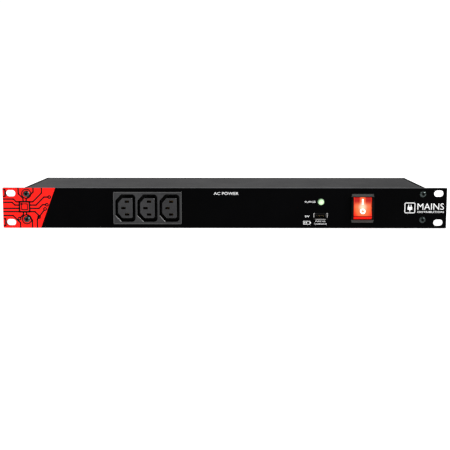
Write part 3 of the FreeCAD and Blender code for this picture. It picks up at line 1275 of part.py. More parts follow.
def all_nodes():
    """Every node of the part by name."""
    floor = {"front_panel": front_panel(), "chassis_tray": chassis_tray(), "top_cover": top_cover()}
    floor["front_panel_screws"] = front_panel_screws()
    floor["cover_rear_screws"] = cover_rear_screws()
    floor["cover_side_screws"] = cover_side_screws()
    floor.update(outlet_module("front", FRONT_COUNT, FRONT_TAB_OFFSET, -1, front_placed))
    floor.update(outlet_module("rear_a", REAR_COUNT, REAR_TAB_OFFSET, 1, rear_placed(REAR_A_X)))
    floor.update(outlet_module("rear_b", REAR_COUNT, REAR_TAB_OFFSET, 1, rear_placed(REAR_B_X)))
    floor["inlet_body"] = inlet_body()
    floor["inlet_line_neutral_pins"] = Part.makeCompound([
        inlet_pin(place, PIN_L) for place in inlet_pin_places()[:2]
    ])
    floor["inlet_earth_pin"] = inlet_pin(inlet_pin_places()[2], EARTH_PIN_L)
    for maker in (
        inlet_screws, breaker_body, breaker_nut, breaker_button, breaker_spring, breaker_terminals,
        switch_housing, switch_rocker, switch_plungers, switch_springs, switch_levers, switch_terminals,
        switch_lamp, led_lens, led_lamp, usb_shell, usb_tongue, usb_contacts, usb_board, usb_board_parts,
        surge_board, board_spacers, board_screws, surge_varistors, surge_capacitors, surge_choke_core,
        surge_choke_windings, terminal_block, earth_studs, earth_nuts, earth_rings, spade_connectors,
        line_wires, neutral_wires, earth_wires, signal_wires,
    ):
        floor[maker.__name__] = maker()
    return floor


os.makedirs("parts", exist_ok=True)
for name, shape in all_nodes().items():
    shape.exportStep("parts/%s.step" % name)
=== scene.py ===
import logging
import math
from dataclasses import dataclass
from enum import Enum
from typing import Sequence

import bpy
from mathutils import Matrix, Vector


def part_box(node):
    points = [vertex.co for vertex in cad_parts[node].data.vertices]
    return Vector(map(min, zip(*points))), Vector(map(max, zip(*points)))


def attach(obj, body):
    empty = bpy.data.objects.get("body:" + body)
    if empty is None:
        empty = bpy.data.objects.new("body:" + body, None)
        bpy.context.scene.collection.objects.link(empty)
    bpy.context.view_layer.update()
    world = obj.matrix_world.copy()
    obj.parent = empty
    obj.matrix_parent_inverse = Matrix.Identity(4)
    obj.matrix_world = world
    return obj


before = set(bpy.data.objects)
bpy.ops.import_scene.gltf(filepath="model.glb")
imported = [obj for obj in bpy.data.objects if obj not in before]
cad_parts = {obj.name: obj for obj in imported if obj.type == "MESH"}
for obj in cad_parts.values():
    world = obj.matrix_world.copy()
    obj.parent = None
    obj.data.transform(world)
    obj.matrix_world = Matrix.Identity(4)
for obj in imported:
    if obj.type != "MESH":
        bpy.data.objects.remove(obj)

LOG = logging.getLogger("rack_power_strip")
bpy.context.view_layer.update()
MM = 0.001

Colour = tuple[float, float, float]
Point = tuple[float, float, float]
Flat = tuple[float, float]
Box = tuple[float, float, float, float]
Piece = bpy.types.Object
Material = bpy.types.Material
Tree = bpy.types.NodeTree
Node = bpy.types.Node
Socket = bpy.types.NodeSocket
Sockets = bpy.types.bpy_prop_collection

WHITE: Colour = (1.0, 1.0, 1.0)


class Axis(Enum):
    """Axis that a round piece lies along, with the turn that puts it there."""

    X = (0.0, math.pi / 2, 0.0)
    Y = (math.pi / 2, 0.0, 0.0)
    Z = (0.0, 0.0, 0.0)


# ---------------------------------------------------------------- modelling bench


class Bench:
    """Modelling steps shared by every class, all in millimetres."""

    @staticmethod
    def clear() -> None:
        """Deselect every object and leave edit mode."""
        if bpy.context.object and bpy.context.object.mode != "OBJECT":
            bpy.ops.object.mode_set(mode="OBJECT")
        bpy.ops.object.select_all(action="DESELECT")

    @classmethod
    def pick(cls, piece: Piece) -> Piece:
        """Select one object only and make it active."""
        cls.clear()
        piece.select_set(True)
        bpy.context.view_layer.objects.active = piece
        return piece

    @classmethod
    def settle(cls, piece: Piece) -> Piece:
        """Put an object's place, turn and size into its mesh."""
        cls.pick(piece)
        bpy.ops.object.transform_apply(location=True, rotation=True, scale=True)
        return piece

    @classmethod
    def block(cls, name: str, low: Point, high: Point) -> Piece:
        """Add a block between two corners.

        Args:
            name: Name of the new object.
            low: Lowest corner in millimetres.
            high: Highest corner in millimetres.

        Returns:
            The new object with its place in its mesh.
        """
        cls.clear()
        centre = [(a + b) / 2 * MM for a, b in zip(low, high)]
        bpy.ops.mesh.primitive_cube_add(size=1.0, location=centre)
        piece = bpy.context.object
        piece.name = name
        piece.scale = [(b - a) * MM for a, b in zip(low, high)]
        return cls.settle(piece)

    @classmethod
    def disc(cls, name: str, centre: Point, radius: float, depth: float, axis: Axis = Axis.Y,
             sides: int = 48) -> Piece:
        """Add a round solid along an axis.

        Args:
            name: Name of the new object.
            centre: Its centre in millimetres.
            radius: Its radius in millimetres.
            depth: Its length along the axis in millimetres.
            axis: The axis that it lies along.
            sides: How many flats its rim has.

        Returns:
            The new object with its place in its mesh.
        """
        cls.clear()
        bpy.ops.mesh.primitive_cylinder_add(
            vertices=sides, radius=radius * MM, depth=depth * MM,
            location=[c * MM for c in centre], rotation=axis.value,
        )
        piece = bpy.context.object
        piece.name = name
        return cls.settle(piece)

    @classmethod
    def ring(cls, name: str, centre: Point, outer: float, inner: float, depth: float,
             sides: int = 64) -> Piece:
        """Add a flat ring that faces along Y.

        Args:
            name: Name of the new object.
            centre: Its centre in millimetres.
            outer: Its outer radius in millimetres.
            inner: The radius of its hole in millimetres.
            depth: Its thickness in millimetres.
            sides: How many flats its rims have.

        Returns:
            The new object with its place in its mesh.
        """
        body = cls.disc(name, centre, outer, depth, sides=sides)
        return cls.subtract(body, [cls.disc(name + "_hole", centre, inner, depth * 3, sides=sides)])

    @classmethod
    def combine(cls, piece: Piece, tools: Sequence[Piece], operation: str) -> Piece:
        """Run a boolean with each tool in turn, then remove the tools."""
        for tool in tools:
            modifier = piece.modifiers.new("combine", "BOOLEAN")
            modifier.operation = operation
            modifier.solver = "EXACT"
            modifier.object = tool
            cls.pick(piece)
            bpy.ops.object.modifier_apply(modifier=modifier.name)
            bpy.data.objects.remove(tool)
        return piece

    @classmethod
    def subtract(cls, piece: Piece, tools: Sequence[Piece]) -> Piece:
        """Cut tools out of a piece."""
        return cls.combine(piece, tools, "DIFFERENCE")

    @classmethod
    def merge(cls, name: str, pieces: Sequence[Piece]) -> Piece:
        """Join objects into one mesh, keeping their shells apart."""
        cls.pick(pieces[0])
        for piece in pieces[1:]:
            piece.select_set(True)
        bpy.ops.object.join()
        pieces[0].name = name
        return pieces[0]

    @classmethod
    def open(cls, piece: Piece) -> None:
        """Enter edit mode on one object, with all of it selected."""
        cls.pick(piece)
        bpy.ops.object.mode_set(mode="EDIT")
        bpy.ops.mesh.select_all(action="SELECT")

    @classmethod
    def slice(cls, piece: Piece, point: Point, normal: Point) -> Piece:
        """Cut away what lies on the normal's side of a plane and close the cut."""
        cls.open(piece)
        bpy.ops.mesh.bisect(
            plane_co=[c * MM for c in point], plane_no=Vector(normal).normalized(), use_fill=True,
            clear_outer=True, clear_inner=False,
        )
        bpy.ops.object.mode_set(mode="OBJECT")
        return piece

    @classmethod
    def soften(cls, piece: Piece, width: float, segments: int = 2,
               angle: float = 40.0) -> Piece:
        """Bevel a piece's sharp edges and smooth its rounds.

        Args:
            piece: The object to finish.
            width: Width of the bevel in millimetres.
            segments: How many steps the bevel has.
            angle: Edges sharper than this many degrees are bevelled.

        Returns:
            The same object.
        """
        modifier = piece.modifiers.new("edges", "BEVEL")
        modifier.width = width * MM
        modifier.segments = segments
        modifier.limit_method = "ANGLE"
        modifier.angle_limit = math.radians(angle)
        cls.pick(piece)
        bpy.ops.object.modifier_apply(modifier=modifier.name)
        return cls.smooth(piece)

    @classmethod
    def smooth(cls, piece: Piece, angle: float = 35.0) -> Piece:
        """Shade a piece smooth, but for its sharp edges."""
        cls.pick(piece)
        bpy.ops.object.shade_smooth_by_angle(angle=math.radians(angle))
        return piece

    @classmethod
    def repair(cls, piece: Piece) -> Piece:
        """Merge doubled points and turn every face outwards."""
        cls.open(piece)
        bpy.ops.mesh.remove_doubles(threshold=0.001 * MM)
        bpy.ops.mesh.normals_make_consistent(inside=False)
        bpy.ops.object.mode_set(mode="OBJECT")
        return piece

    @classmethod
    def turn(cls, piece: Piece, degrees: float, centre: Point, axis: str = "X") -> Piece:
        """Turn a settled piece about a point in millimetres by the right-hand rule."""
        pivot = Vector([c * MM for c in centre])
        there, back = Matrix.Translation(-pivot), Matrix.Translation(pivot)
        turn = Matrix.Rotation(math.radians(degrees), 4, axis)
        piece.matrix_world = back @ turn @ there @ piece.matrix_world
        return cls.settle(piece)

    @classmethod
    def lettering(cls, name: str, words: str, box: Box, face: float, weight: float,
                  depth: float) -> Piece:
        """Set words flat on a face that looks towards -Y, stretched to fill a box.

        Args:
            name: Name of the new object.
            words: What is written.
            box: Left, right, bottom and top in millimetres.
            face: Y of the face in millimetres.
            weight: How much the strokes are thickened, as a share of the type size.
            depth: How far the ink stands proud in millimetres.

        Returns:
            The lettering as a mesh with its place in its mesh.
        """
        cls.clear()
        bpy.ops.object.text_add()
        text = bpy.context.object
        text.name = name
        text.data.body = words
        text.data.resolution_u = 4
        text.data.offset = weight
        text.data.extrude = 0.5
        cls.pick(text)
        bpy.ops.object.convert(target="MESH")
        piece = bpy.context.object
        corners = [Vector(v.co) for v in piece.data.vertices]
        low_x, high_x = min(v.x for v in corners), max(v.x for v in corners)
        low_y, high_y = min(v.y for v in corners), max(v.y for v in corners)
        left, right, bottom, top = [value * MM for value in box]
        grow_x, grow_z = (right - left) / (high_x - low_x), (top - bottom) / (high_y - low_y)
        piece.scale = (grow_x, grow_z, depth * MM)
        piece.rotation_euler = (math.pi / 2, 0.0, 0.0)
        piece.location = (left - low_x * grow_x, (face - depth / 2) * MM, bottom - low_y * grow_z)
        piece.name = name
        return cls.repair(cls.settle(piece))


def finish_piece(piece: Piece, body: str, material: Material) -> Piece:
    """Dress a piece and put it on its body.

    Args:
        piece: The finished object.
        body: The CAD body that it moves with.
        material: Its finish.

    Returns:
        The same object.
    """
    piece.data.materials.clear()
    piece.data.materials.append(material)
    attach(piece, body)
    LOG.info("built %s on %s", piece.name, body)
    return piece


# ---------------------------------------------------------------- node graphs


class Graph:
    """Short way to place and join shader nodes in one tree."""

    def __init__(self, tree: Tree) -> None:
        """Start on an empty tree."""
        self.tree = tree
        tree.nodes.clear()

    def add(self, kind: str, **settings: object) -> Node:
        """Place a node and set its own properties."""
        node = self.tree.nodes.new(kind)
        for key, value in settings.items():
            setattr(node, key, value)
        return node

    def join(self, source: Socket, target: Socket) -> None:
        """Link an output to an input."""
        self.tree.links.new(source, target)

    def feed(self, target: Socket, value: object) -> None:
        """Link a socket or set a plain value."""
        if isinstance(value, Socket):
            self.join(value, target)
        else:
            target.default_value = value

    def math(self, operation: str, first: object, second: object = 0.0, third: object = 0.0,
             clamp: bool = False) -> Socket:
        """Number operation on sockets or plain values."""
        node = self.add("ShaderNodeMath", operation=operation, use_clamp=clamp)
        for socket, value in zip(node.inputs, (first, second, third)):
            self.feed(socket, value)
        return node.outputs[0]

    def vector(self, operation: str, first: object, second: object = (0.0, 0.0, 0.0)) -> Node:
        """Vector operation on sockets or plain values."""
        node = self.add("ShaderNodeVectorMath", operation=operation)
        self.feed(node.inputs[0], first)
        self.feed(node.inputs[1], second)
        return node

    def span(self, value: object, low: float, high: float, to_low: float = 0.0,
             to_high: float = 1.0) -> Socket:
        """Smooth step from one span of values to another."""
        node = self.add("ShaderNodeMapRange", interpolation_type="SMOOTHSTEP")
        self.feed(node.inputs["Value"], value)
        for key, number in (("From Min", low), ("From Max", high), ("To Min", to_low), ("To Max", to_high)):
            node.inputs[key].default_value = number
        return node.outputs["Result"]

    def blend(self, factor: object, first: object, second: object, kind: str = "MIX") -> Socket:
        """Mix two colours, each a socket or three numbers."""
        node = self.add("ShaderNodeMix", data_type="RGBA", blend_type=kind)
        for number, value in ((0, factor), (6, first), (7, second)):
            self.feed(node.inputs[number], rgba(value) if isinstance(value, tuple) else value)
        return node.outputs[2]

    def noise(self, place: object, scale: object, detail: float = 4.0, rough: float = 0.55) -> Socket:
        """Noise value at a place."""
        node = self.add("ShaderNodeTexNoise")
        self.feed(node.inputs["Vector"], place)
        self.feed(node.inputs["Scale"], scale)
        node.inputs["Detail"].default_value = detail
        node.inputs["Roughness"].default_value = rough
        return node.outputs["Fac"]

    def place(self) -> Socket:
        """Position on the piece, in metres."""
        return self.add("ShaderNodeTexCoord").outputs["Object"]

    def normal(self) -> Socket:
        """Direction that the surface faces."""
        return self.add("ShaderNodeNewGeometry").outputs["Normal"]

    def split(self, vector: Socket) -> Sequence[Socket]:
        """X, Y and Z of a vector."""
        node = self.add("ShaderNodeSeparateXYZ")
        self.join(vector, node.inputs[0])
        return node.outputs

    def group(self, tree: Tree, **values: object) -> Node:
        """Place a shared effect and set its inputs by name."""
        node = self.add("ShaderNodeGroup", node_tree=tree)
        for key, value in values.items():
            self.feed(node.inputs[key], value)
        return node

    def mask(self, tree: Tree, **values: object) -> Socket:
        """Place a shared effect and take its mask."""
        return self.group(tree, **values).outputs["Mask"]


def rgba(colour: Colour) -> tuple[float, float, float, float]:
    """Colour with full cover."""
    return (*colour, 1.0)


class Effects:
    """Surface effects that several finishes share, each built once as a node group."""

    def __init__(self) -> None:
        """Build every shared group."""
        self.grain = self._grain()
        self.edge_band = self._edge_band()
        self.dust = self._dust()
        self.drawn = self._drawn()
        self.scuff = self._scuff()
        self.recess = self._recess()
        self.slopes = self._slopes()

    @staticmethod
    def _start(name: str, inputs: Sequence[tuple[str, str, object]],
               outputs: Sequence[str]) -> tuple[Graph, Sockets, Sockets]:
        """Open a node group with named sockets.

        Args:
            name: Name of the group.
            inputs: Name, socket type and default of each input.
            outputs: Name of each number output.

        Returns:
            The graph, the sockets that carry its inputs and those that take its outputs.
        """
        tree = bpy.data.node_groups.new(name, "ShaderNodeTree")
        graph = Graph(tree)
        for label, kind, default in inputs:
            socket = tree.interface.new_socket(name=label, in_out="INPUT", socket_type=kind)
            socket.default_value = default
        for label in outputs:
            tree.interface.new_socket(name=label, in_out="OUTPUT", socket_type="NodeSocketFloat")
        return graph, graph.add("NodeGroupInput").outputs, graph.add("NodeGroupOutput").inputs

    def _grain(self) -> Tree:
        """Fine pebbled skin of powder coat or moulded plastic, with slow colour drift."""
        graph, given, result = self._start(
            "surface_grain", [("Scale", "NodeSocketFloat", 900.0)], ["Height", "Tone", "Drift"]
        )
        place, scale = graph.place(), given["Scale"]
        cells = graph.add("ShaderNodeTexVoronoi", feature="SMOOTH_F1")
        graph.join(place, cells.inputs["Vector"])
        graph.join(scale, cells.inputs["Scale"])
        fine = graph.noise(place, graph.math("MULTIPLY", scale, 1.7), 3.0)
        height = graph.math("ADD", cells.outputs["Distance"], graph.math("MULTIPLY", fine, 0.6))
        graph.join(height, result["Height"])
        graph.join(graph.span(fine, 0.3, 0.7), result["Tone"])
        graph.join(graph.span(graph.noise(place, 26.0, 5.0), 0.32, 0.68), result["Drift"])
        return graph.tree

    def _edge_band(self) -> Tree:
        """Band along the edges of a box-shaped piece: wear, with painted edge highlight where its colour is
        lighter and painted shade where it is darker.
        """
        graph, given, result = self._start(
            "edge_wear_light_and_shade",
            [("Low", "NodeSocketVector", (0, 0, 0)), ("High", "NodeSocketVector", (1, 1, 1)),
             ("Width", "NodeSocketFloat", 0.0006), ("Breakup", "NodeSocketFloat", 180.0)],
            ["Mask"],
        )
        place = graph.place()
        from_low = graph.vector("SUBTRACT", place, given["Low"]).outputs[0]
        from_high = graph.vector("SUBTRACT", given["High"], place).outputs[0]
        nearest = graph.vector("MINIMUM", from_low, from_high).outputs[0]
        x, y, z = graph.split(graph.vector("ABSOLUTE", nearest).outputs[0])
        middle = graph.math(
            "MAXIMUM", graph.math("MINIMUM", x, y),
            graph.math("MINIMUM", graph.math("MAXIMUM", x, y), z),
        )
        patchy = graph.math("MULTIPLY_ADD", graph.noise(place, given["Breakup"], 4.0), 1.1, 0.35)
        share = graph.math("DIVIDE", middle, graph.math("MULTIPLY", given["Width"], patchy))
        graph.join(graph.span(share, 1.0, 0.35), result["Mask"])
        return graph.tree

    def _dust(self) -> Tree:
        """Thin dust that lies on faces which look up."""
        graph, given, result = self._start(
            "settled_dust",
            [("Amount", "NodeSocketFloat", 0.3), ("Scale", "NodeSocketFloat", 60.0)],
            ["Mask"],
        )
        _, _, up = graph.split(graph.normal())
        facing = graph.span(up, 0.55, 0.98)
        place = graph.place()
        clouds = graph.span(graph.noise(place, given["Scale"], 6.0, 0.6), 0.38, 0.72)
        fine = graph.math("MULTIPLY", given["Scale"], 22.0)
        specks = graph.span(graph.noise(place, fine, 2.0), 0.6, 0.74)
        cover = graph.math("MULTIPLY_ADD", clouds, 0.75, graph.math("MULTIPLY", specks, 0.5))
        lying = graph.math("MULTIPLY", cover, facing)
        graph.join(graph.math("MULTIPLY", lying, given["Amount"], clamp=True), result["Mask"])
        return graph.tree

    def _drawn(self) -> Tree:
        """Fine parallel lines of drawn, rolled or turned metal."""
        graph, given, result = self._start(
            "drawn_lines",
            [("Stretch", "NodeSocketVector", (1, 40, 40)), ("Scale", "NodeSocketFloat", 300.0)],
            ["Height", "Tone"],
        )
        place = graph.vector("MULTIPLY", graph.place(), given["Stretch"]).outputs[0]
        lines = graph.noise(place, given["Scale"], 5.0, 0.7)
        graph.join(lines, result["Height"])
        graph.join(graph.span(lines, 0.3, 0.7), result["Tone"])
        return graph.tree

    def _scuff(self) -> Tree:
        """Sparse hairline scratches from handling and racking."""
        graph, given, result = self._start(
            "handling_scuffs",
            [("Scale", "NodeSocketFloat", 40.0), ("Amount", "NodeSocketFloat", 0.3)],
            ["Mask"],
        )
        place = graph.place()
        hair = None
        for turn, stretch in ((0.5, (1.0, 18.0, 18.0)), (-0.9, (20.0, 1.0, 14.0))):
            mapping = graph.add("ShaderNodeMapping")
            mapping.inputs["Rotation"].default_value = (turn, turn * 0.7, turn * 1.3)
            mapping.inputs["Scale"].default_value = stretch
            graph.join(place, mapping.inputs["Vector"])
            line = graph.span(graph.noise(mapping.outputs[0], given["Scale"], 2.0), 0.72, 0.8)
            hair = line if hair is None else graph.math("MAXIMUM", hair, line)
        graph.join(graph.math("MULTIPLY", hair, given["Amount"], clamp=True), result["Mask"])
        return graph.tree

    def _recess(self) -> Tree:
        """Painted shade that darkens what lies behind a face along Y, and a painted highlight on chamfer
        walls that face one way near the face.
        """
        graph, given, result = self._start(
            "painted_recess_shade_and_glint",
            [("Face", "NodeSocketFloat", 0.0), ("Inward", "NodeSocketFloat", 1.0),
             ("Reach", "NodeSocketFloat", 0.001), ("Towards", "NodeSocketVector", (0.7071, 0.0, 0.7071)),
             ("Polish", "NodeSocketFloat", 0.002)],
            ["Mask", "Glint"],
        )
        _, y, _ = graph.split(graph.place())
        behind = graph.math("SUBTRACT", y, given["Face"])
        below = graph.math("MULTIPLY", behind, given["Inward"])
        depth = graph.math("DIVIDE", below, given["Reach"])
        # painted shade: darker the deeper a point lies behind the face
        graph.join(graph.span(depth, 0.3, 1.0), result["Mask"])
        # painted highlight: walls that face the given way, near the face, are lightened
        facing = graph.vector("DOT_PRODUCT", graph.normal(), given["Towards"]).outputs["Value"]
        near = graph.span(graph.math("DIVIDE", below, given["Polish"]), 1.3, 0.9)
        graph.join(graph.math("MULTIPLY", graph.span(facing, 0.93, 0.98), near), result["Glint"])
        return graph.tree

    def _slopes(self) -> Tree:
        """Mask of chamfers and rounded edges between a face along Y and its sides, for wear and painted edge
        highlight.
        """
        graph, _, result = self._start("sloped_edges", [], ["Mask"])
        _, y, _ = graph.split(graph.normal())
        lean = graph.math("ABSOLUTE", y)
        sloped = graph.math("MULTIPLY", graph.span(lean, 0.25, 0.45), graph.span(lean, 0.985, 0.93))
        graph.join(sloped, result["Mask"])
        return graph.tree


# ---------------------------------------------------------------- finishes


@dataclass(frozen=True)
class Finish:
    """What every finish states about its surface."""

    name: str
    colour: Colour
    roughness: float = 0.45
    specular: float = 0.5
    metallic: float = 0.0
    coat: float = 0.0
    coat_roughness: float = 0.12

    def open(self) -> tuple[Material, Graph, Node]:
        """Start the material with its shader's own constants.

        Returns:
            The material, its graph and its Principled shader.
        """
        material = bpy.data.materials.new(self.name)
        material.use_nodes = True
        graph = Graph(material.node_tree)
        shader = graph.add("ShaderNodeBsdfPrincipled")
        constants = {
            "Base Color": rgba(self.colour), "Roughness": self.roughness,
            "Specular IOR Level": self.specular, "Metallic": self.metallic,
            "Coat Weight": self.coat, "Coat Roughness": self.coat_roughness,
        }
        for socket, value in constants.items():
            shader.inputs[socket].default_value = value
        graph.join(shader.outputs[0], graph.add("ShaderNodeOutputMaterial").inputs["Surface"])
        return material, graph, shader

    @staticmethod
    def bump(graph: Graph, shader: Node, height: Socket, depth: float) -> None:
        """Give the shader a bump from a height, its depth in metres."""
        node = graph.add("ShaderNodeBump")
        node.inputs["Distance"].default_value = depth
        node.inputs["Strength"].default_value = 1.0
        graph.join(height, node.inputs["Height"])
        graph.join(node.outputs[0], shader.inputs["Normal"])


@dataclass(frozen=True)
class GrainedFinish(Finish):
    """Powder coat or moulded plastic with grain, worn edges with painted edge highlight and shade, dust,
    scuffs, painted recess shade and painted glints.
    """

    grain_scale: float = 900.0
    grain_depth: float = 0.00004
    drift: float = 0.25
    # colour of scuffs, worn edges and slopes; on edges and slopes it is also painted highlight and painted
    # shade
    wear_light_and_shade_colour: Colour = (0.12, 0.12, 0.12)
    edge_box: tuple[Point, Point] | None = None
    edge_width: float = 0.0007
    dust: float = 0.0
    scuffs: float = 0.1
    # painted shade inside a recess behind a face: face Y and inward sign, reach and colour
    recess_shade: tuple[float, float] | None = None
    recess_shade_reach: float = 0.0009
    recess_shade_colour: Colour = (0.0015, 0.0015, 0.0015)
    # painted highlight on chamfer walls near the recess face
    glint_towards: Point = (0.7071, 0.0, 0.7071)
    glint_colour: Colour = (0.85, 0.85, 0.85)
    glint_depth: float = 0.0020
    slope_wear_and_highlight: float = 0.0
    dust_colour: Colour = (0.30, 0.29, 0.27)

    def tint(self, graph: Graph) -> object:
        """Base colour before grain, wear and dust."""
        return self.colour

    def build(self, effects: Effects) -> Material:
        """Make the material.

        Args:
            effects: The shared surface effects.

        Returns:
            The new material.
        """
        material, graph, shader = self.open()
        grain = graph.group(effects.grain, Scale=self.grain_scale)
        shade = graph.blend(grain.outputs["Drift"], (1.0 - self.drift,) * 3, WHITE)
        colour = graph.blend(1.0, self.tint(graph), shade, "MULTIPLY")
        rough = graph.math("MULTIPLY_ADD", grain.outputs["Tone"], 0.14, self.roughness - 0.07)
        # edge band: wear plus painted edge highlight, and painted shade where its colour is darker than the
        # coat
        if self.edge_box:
            low, high = self.edge_box
            edge_band_mask = graph.mask(effects.edge_band, Low=low, High=high, Width=self.edge_width)
            colour = graph.blend(edge_band_mask, colour, self.wear_light_and_shade_colour)
            rough = graph.math("MULTIPLY_ADD", edge_band_mask, -0.1, rough)
        if self.scuffs:
            scuffed = graph.mask(effects.scuff, Scale=45.0, Amount=self.scuffs)
            colour = graph.blend(scuffed, colour, self.wear_light_and_shade_colour)
            rough = graph.math("MULTIPLY_ADD", scuffed, 0.15, rough)
        if self.dust:
            dusty = graph.mask(effects.dust, Amount=self.dust, Scale=60.0)
            colour = graph.blend(dusty, colour, self.dust_colour)
            rough = graph.math("MULTIPLY_ADD", dusty, 0.3, rough, clamp=True)
        # chamfers lightened: wear, and a painted highlight standing in for light caught by the chamfers
        if self.slope_wear_and_highlight:
            sloped = graph.math("MULTIPLY", graph.mask(effects.slopes), self.slope_wear_and_highlight)
            colour = graph.blend(sloped, colour, self.wear_light_and_shade_colour)
        if self.recess_shade:
            face, inward = self.recess_shade
            recess = graph.group(effects.recess, Face=face, Inward=inward, Reach=self.recess_shade_reach,
                                 Towards=self.glint_towards, Polish=self.glint_depth)
            # painted shade: near-black deep in the recess behind the face
            colour = graph.blend(recess.outputs["Mask"], colour, self.recess_shade_colour)
            # painted highlight: glint on chamfer walls near the face
            colour = graph.blend(recess.outputs["Glint"], colour, self.glint_colour)
        graph.join(colour, shader.inputs["Base Color"])
        graph.join(rough, shader.inputs["Roughness"])
        self.bump(graph, shader, grain.outputs["Height"], self.grain_depth)
        return material


@dataclass(frozen=True)
class WedgePaint(GrainedFinish):
    """Panel coat: black, with a printed end to the left of a slanted line."""

    print_colour: Colour = (0.9, 0.012, 0.01)
    top_x: float = -0.1838
    low_x: float = -0.2001
    half_height: float = 0.0218
    # painted highlight: a lighter line along the panel's top edge between the case's sides
    top_highlight_colour: Colour = (0.24, 0.24, 0.25)
    top_highlight_from: float = 0.0218
    top_highlight_half_length: float = 0.2225
    front: float = -0.0026

    def tint(self, graph: Graph) -> object:
        """Black coat with a painted highlight along its top edge and the printed end on the front."""
        x, y, z = graph.split(graph.place())
        slope = (self.top_x - self.low_x) / (2 * self.half_height)
        border = graph.math("MULTIPLY_ADD", z, slope, (self.top_x + self.low_x) / 2)
        left = graph.math("LESS_THAN", x, border)
        inked = graph.math("MULTIPLY", left, graph.math("LESS_THAN", y, self.front))
        highlight_strip = graph.math("GREATER_THAN", z, self.top_highlight_from)
        along = graph.math("LESS_THAN", graph.math("ABSOLUTE", x), self.top_highlight_half_length)
        coat = graph.blend(graph.math("MULTIPLY", highlight_strip, along), self.colour, self.top_highlight_colour)
        return graph.blend(inked, coat, self.print_colour)


@dataclass(frozen=True)
class BarredMould(GrainedFinish):
    """Black moulding with a painted highlight on a bar above and below a middle."""

    bar_highlight_colour: Colour = (0.06, 0.06, 0.058)
    bar_from: float = 0.0128
    bar_blur: float = 0.0004
    front: float = -0.0040

    def tint(self, graph: Graph) -> object:
        """Black with the painted highlight on its two front bars."""
        _, y, z = graph.split(graph.place())
        away = graph.math("ABSOLUTE", z)
        # painted highlight: paler colour on the front of the upper and lower bars
        bar_highlight = graph.span(away, self.bar_from - self.bar_blur, self.bar_from + self.bar_blur)
        face = graph.math("LESS_THAN", y, self.front)
        return graph.blend(graph.math("MULTIPLY", bar_highlight, face), self.colour, self.bar_highlight_colour)


@dataclass(frozen=True)
class MetalFinish(Finish):
    """Bare or plated metal with drawn lines, tarnish and scuffs."""

    metallic: float = 1.0
    stretch: Point = (1.0, 30.0, 30.0)
    line_scale: float = 160.0
    line_depth: float = 0.000012
    tarnish_and_shade: Colour = (0.25, 0.22, 0.18)
    tarnish_share: float = 0.3
    scratch_colour: Colour = (0.8, 0.8, 0.8)

    def stain_and_shade(self, graph: Graph, dull_and_shaded: Socket) -> Socket:
        """Share of tarnish over the surface, to which subclasses add painted shade."""
        return dull_and_shaded

    def build(self, effects: Effects) -> Material:
        """Make the material.

        Args:
            effects: The shared surface effects.

        Returns:
            The new material.
        """
        material, graph, shader = self.open()
        lines = graph.group(effects.drawn, Stretch=self.stretch, Scale=self.line_scale)
        grain = graph.group(effects.grain, Scale=700.0)
        dull_and_shaded = self.stain_and_shade(graph, graph.math("MULTIPLY", grain.outputs["Drift"], self.tarnish_share))
        scuffed = graph.mask(effects.scuff, Scale=90.0, Amount=0.3)
        # tarnish colour; on the screws and the socket shell it is also painted shade
        colour = graph.blend(dull_and_shaded, self.colour, self.tarnish_and_shade)
        graph.join(graph.blend(scuffed, colour, self.scratch_colour), shader.inputs["Base Color"])
        rough = graph.math("MULTIPLY_ADD", lines.outputs["Tone"], 0.16, self.roughness - 0.08)
        graph.join(graph.math("MULTIPLY_ADD", dull_and_shaded, 0.3, rough), shader.inputs["Roughness"])
        self.bump(graph, shader, lines.outputs["Height"], self.line_depth)
        return material


@dataclass(frozen=True)
class RecessedScrew(MetalFinish):
    """Screw heads that face along Y, each with painted shade filling its drive recess."""

    places: tuple[Flat, ...] = ()
    bore: float = 0.0017
    bore_blur: float = 0.0002

    def stain_and_shade(self, graph: Graph, dull_and_shaded: Socket) -> Socket:
        """Painted shade: black inside each recess, added to the tarnish."""
        flat = graph.vector("MULTIPLY", graph.place(), (1.0, 0.0, 1.0)).outputs[0]
        nearest = None
        for x, z in self.places:
            away = graph.vector("DISTANCE", flat, (x * MM, 0.0, z * MM)).outputs["Value"]
            nearest = away if nearest is None else graph.math("MINIMUM", nearest, away)
        # painted shade: a dark disc over each drive recess
        recess = graph.span(nearest, self.bore + self.bore_blur, self.bore - self.bore_blur)
        return graph.math("MAXIMUM", recess, dull_and_shaded)


@dataclass(frozen=True)
class SocketShell(MetalFinish):
    """Plated shell with painted reflection: bright at its two sides and its lower lip, dark elsewhere."""

    centre: Flat = (0.1047, -0.0091)
    half: Flat = (0.0060, 0.0022)

    def stain_and_shade(self, graph: Graph, dull_and_shaded: Socket) -> Socket:
        """Painted reflection: dark but for bright sides and the lower lip."""
        x, _, z = graph.split(graph.place())
        half_width, half_height = self.half
        across = graph.math("ABSOLUTE", graph.math("SUBTRACT", x, self.centre[0]))
        down = graph.math("SUBTRACT", self.centre[1], z)
        sides = graph.span(across, half_width, half_width + 0.0006)
        not_low = graph.span(down, 0.0014, 0.0008)
        highlight_strip = graph.math("MULTIPLY", graph.span(down, half_height, half_height + 0.0004),
                         graph.span(across, half_width - 0.0002, half_width - 0.0008))
        bright = graph.math("MAXIMUM", graph.math("MULTIPLY", sides, not_low), highlight_strip)
        return graph.math("MAXIMUM", graph.math("SUBTRACT", 1.0, bright), graph.math("MULTIPLY", dull_and_shaded, 0.4))


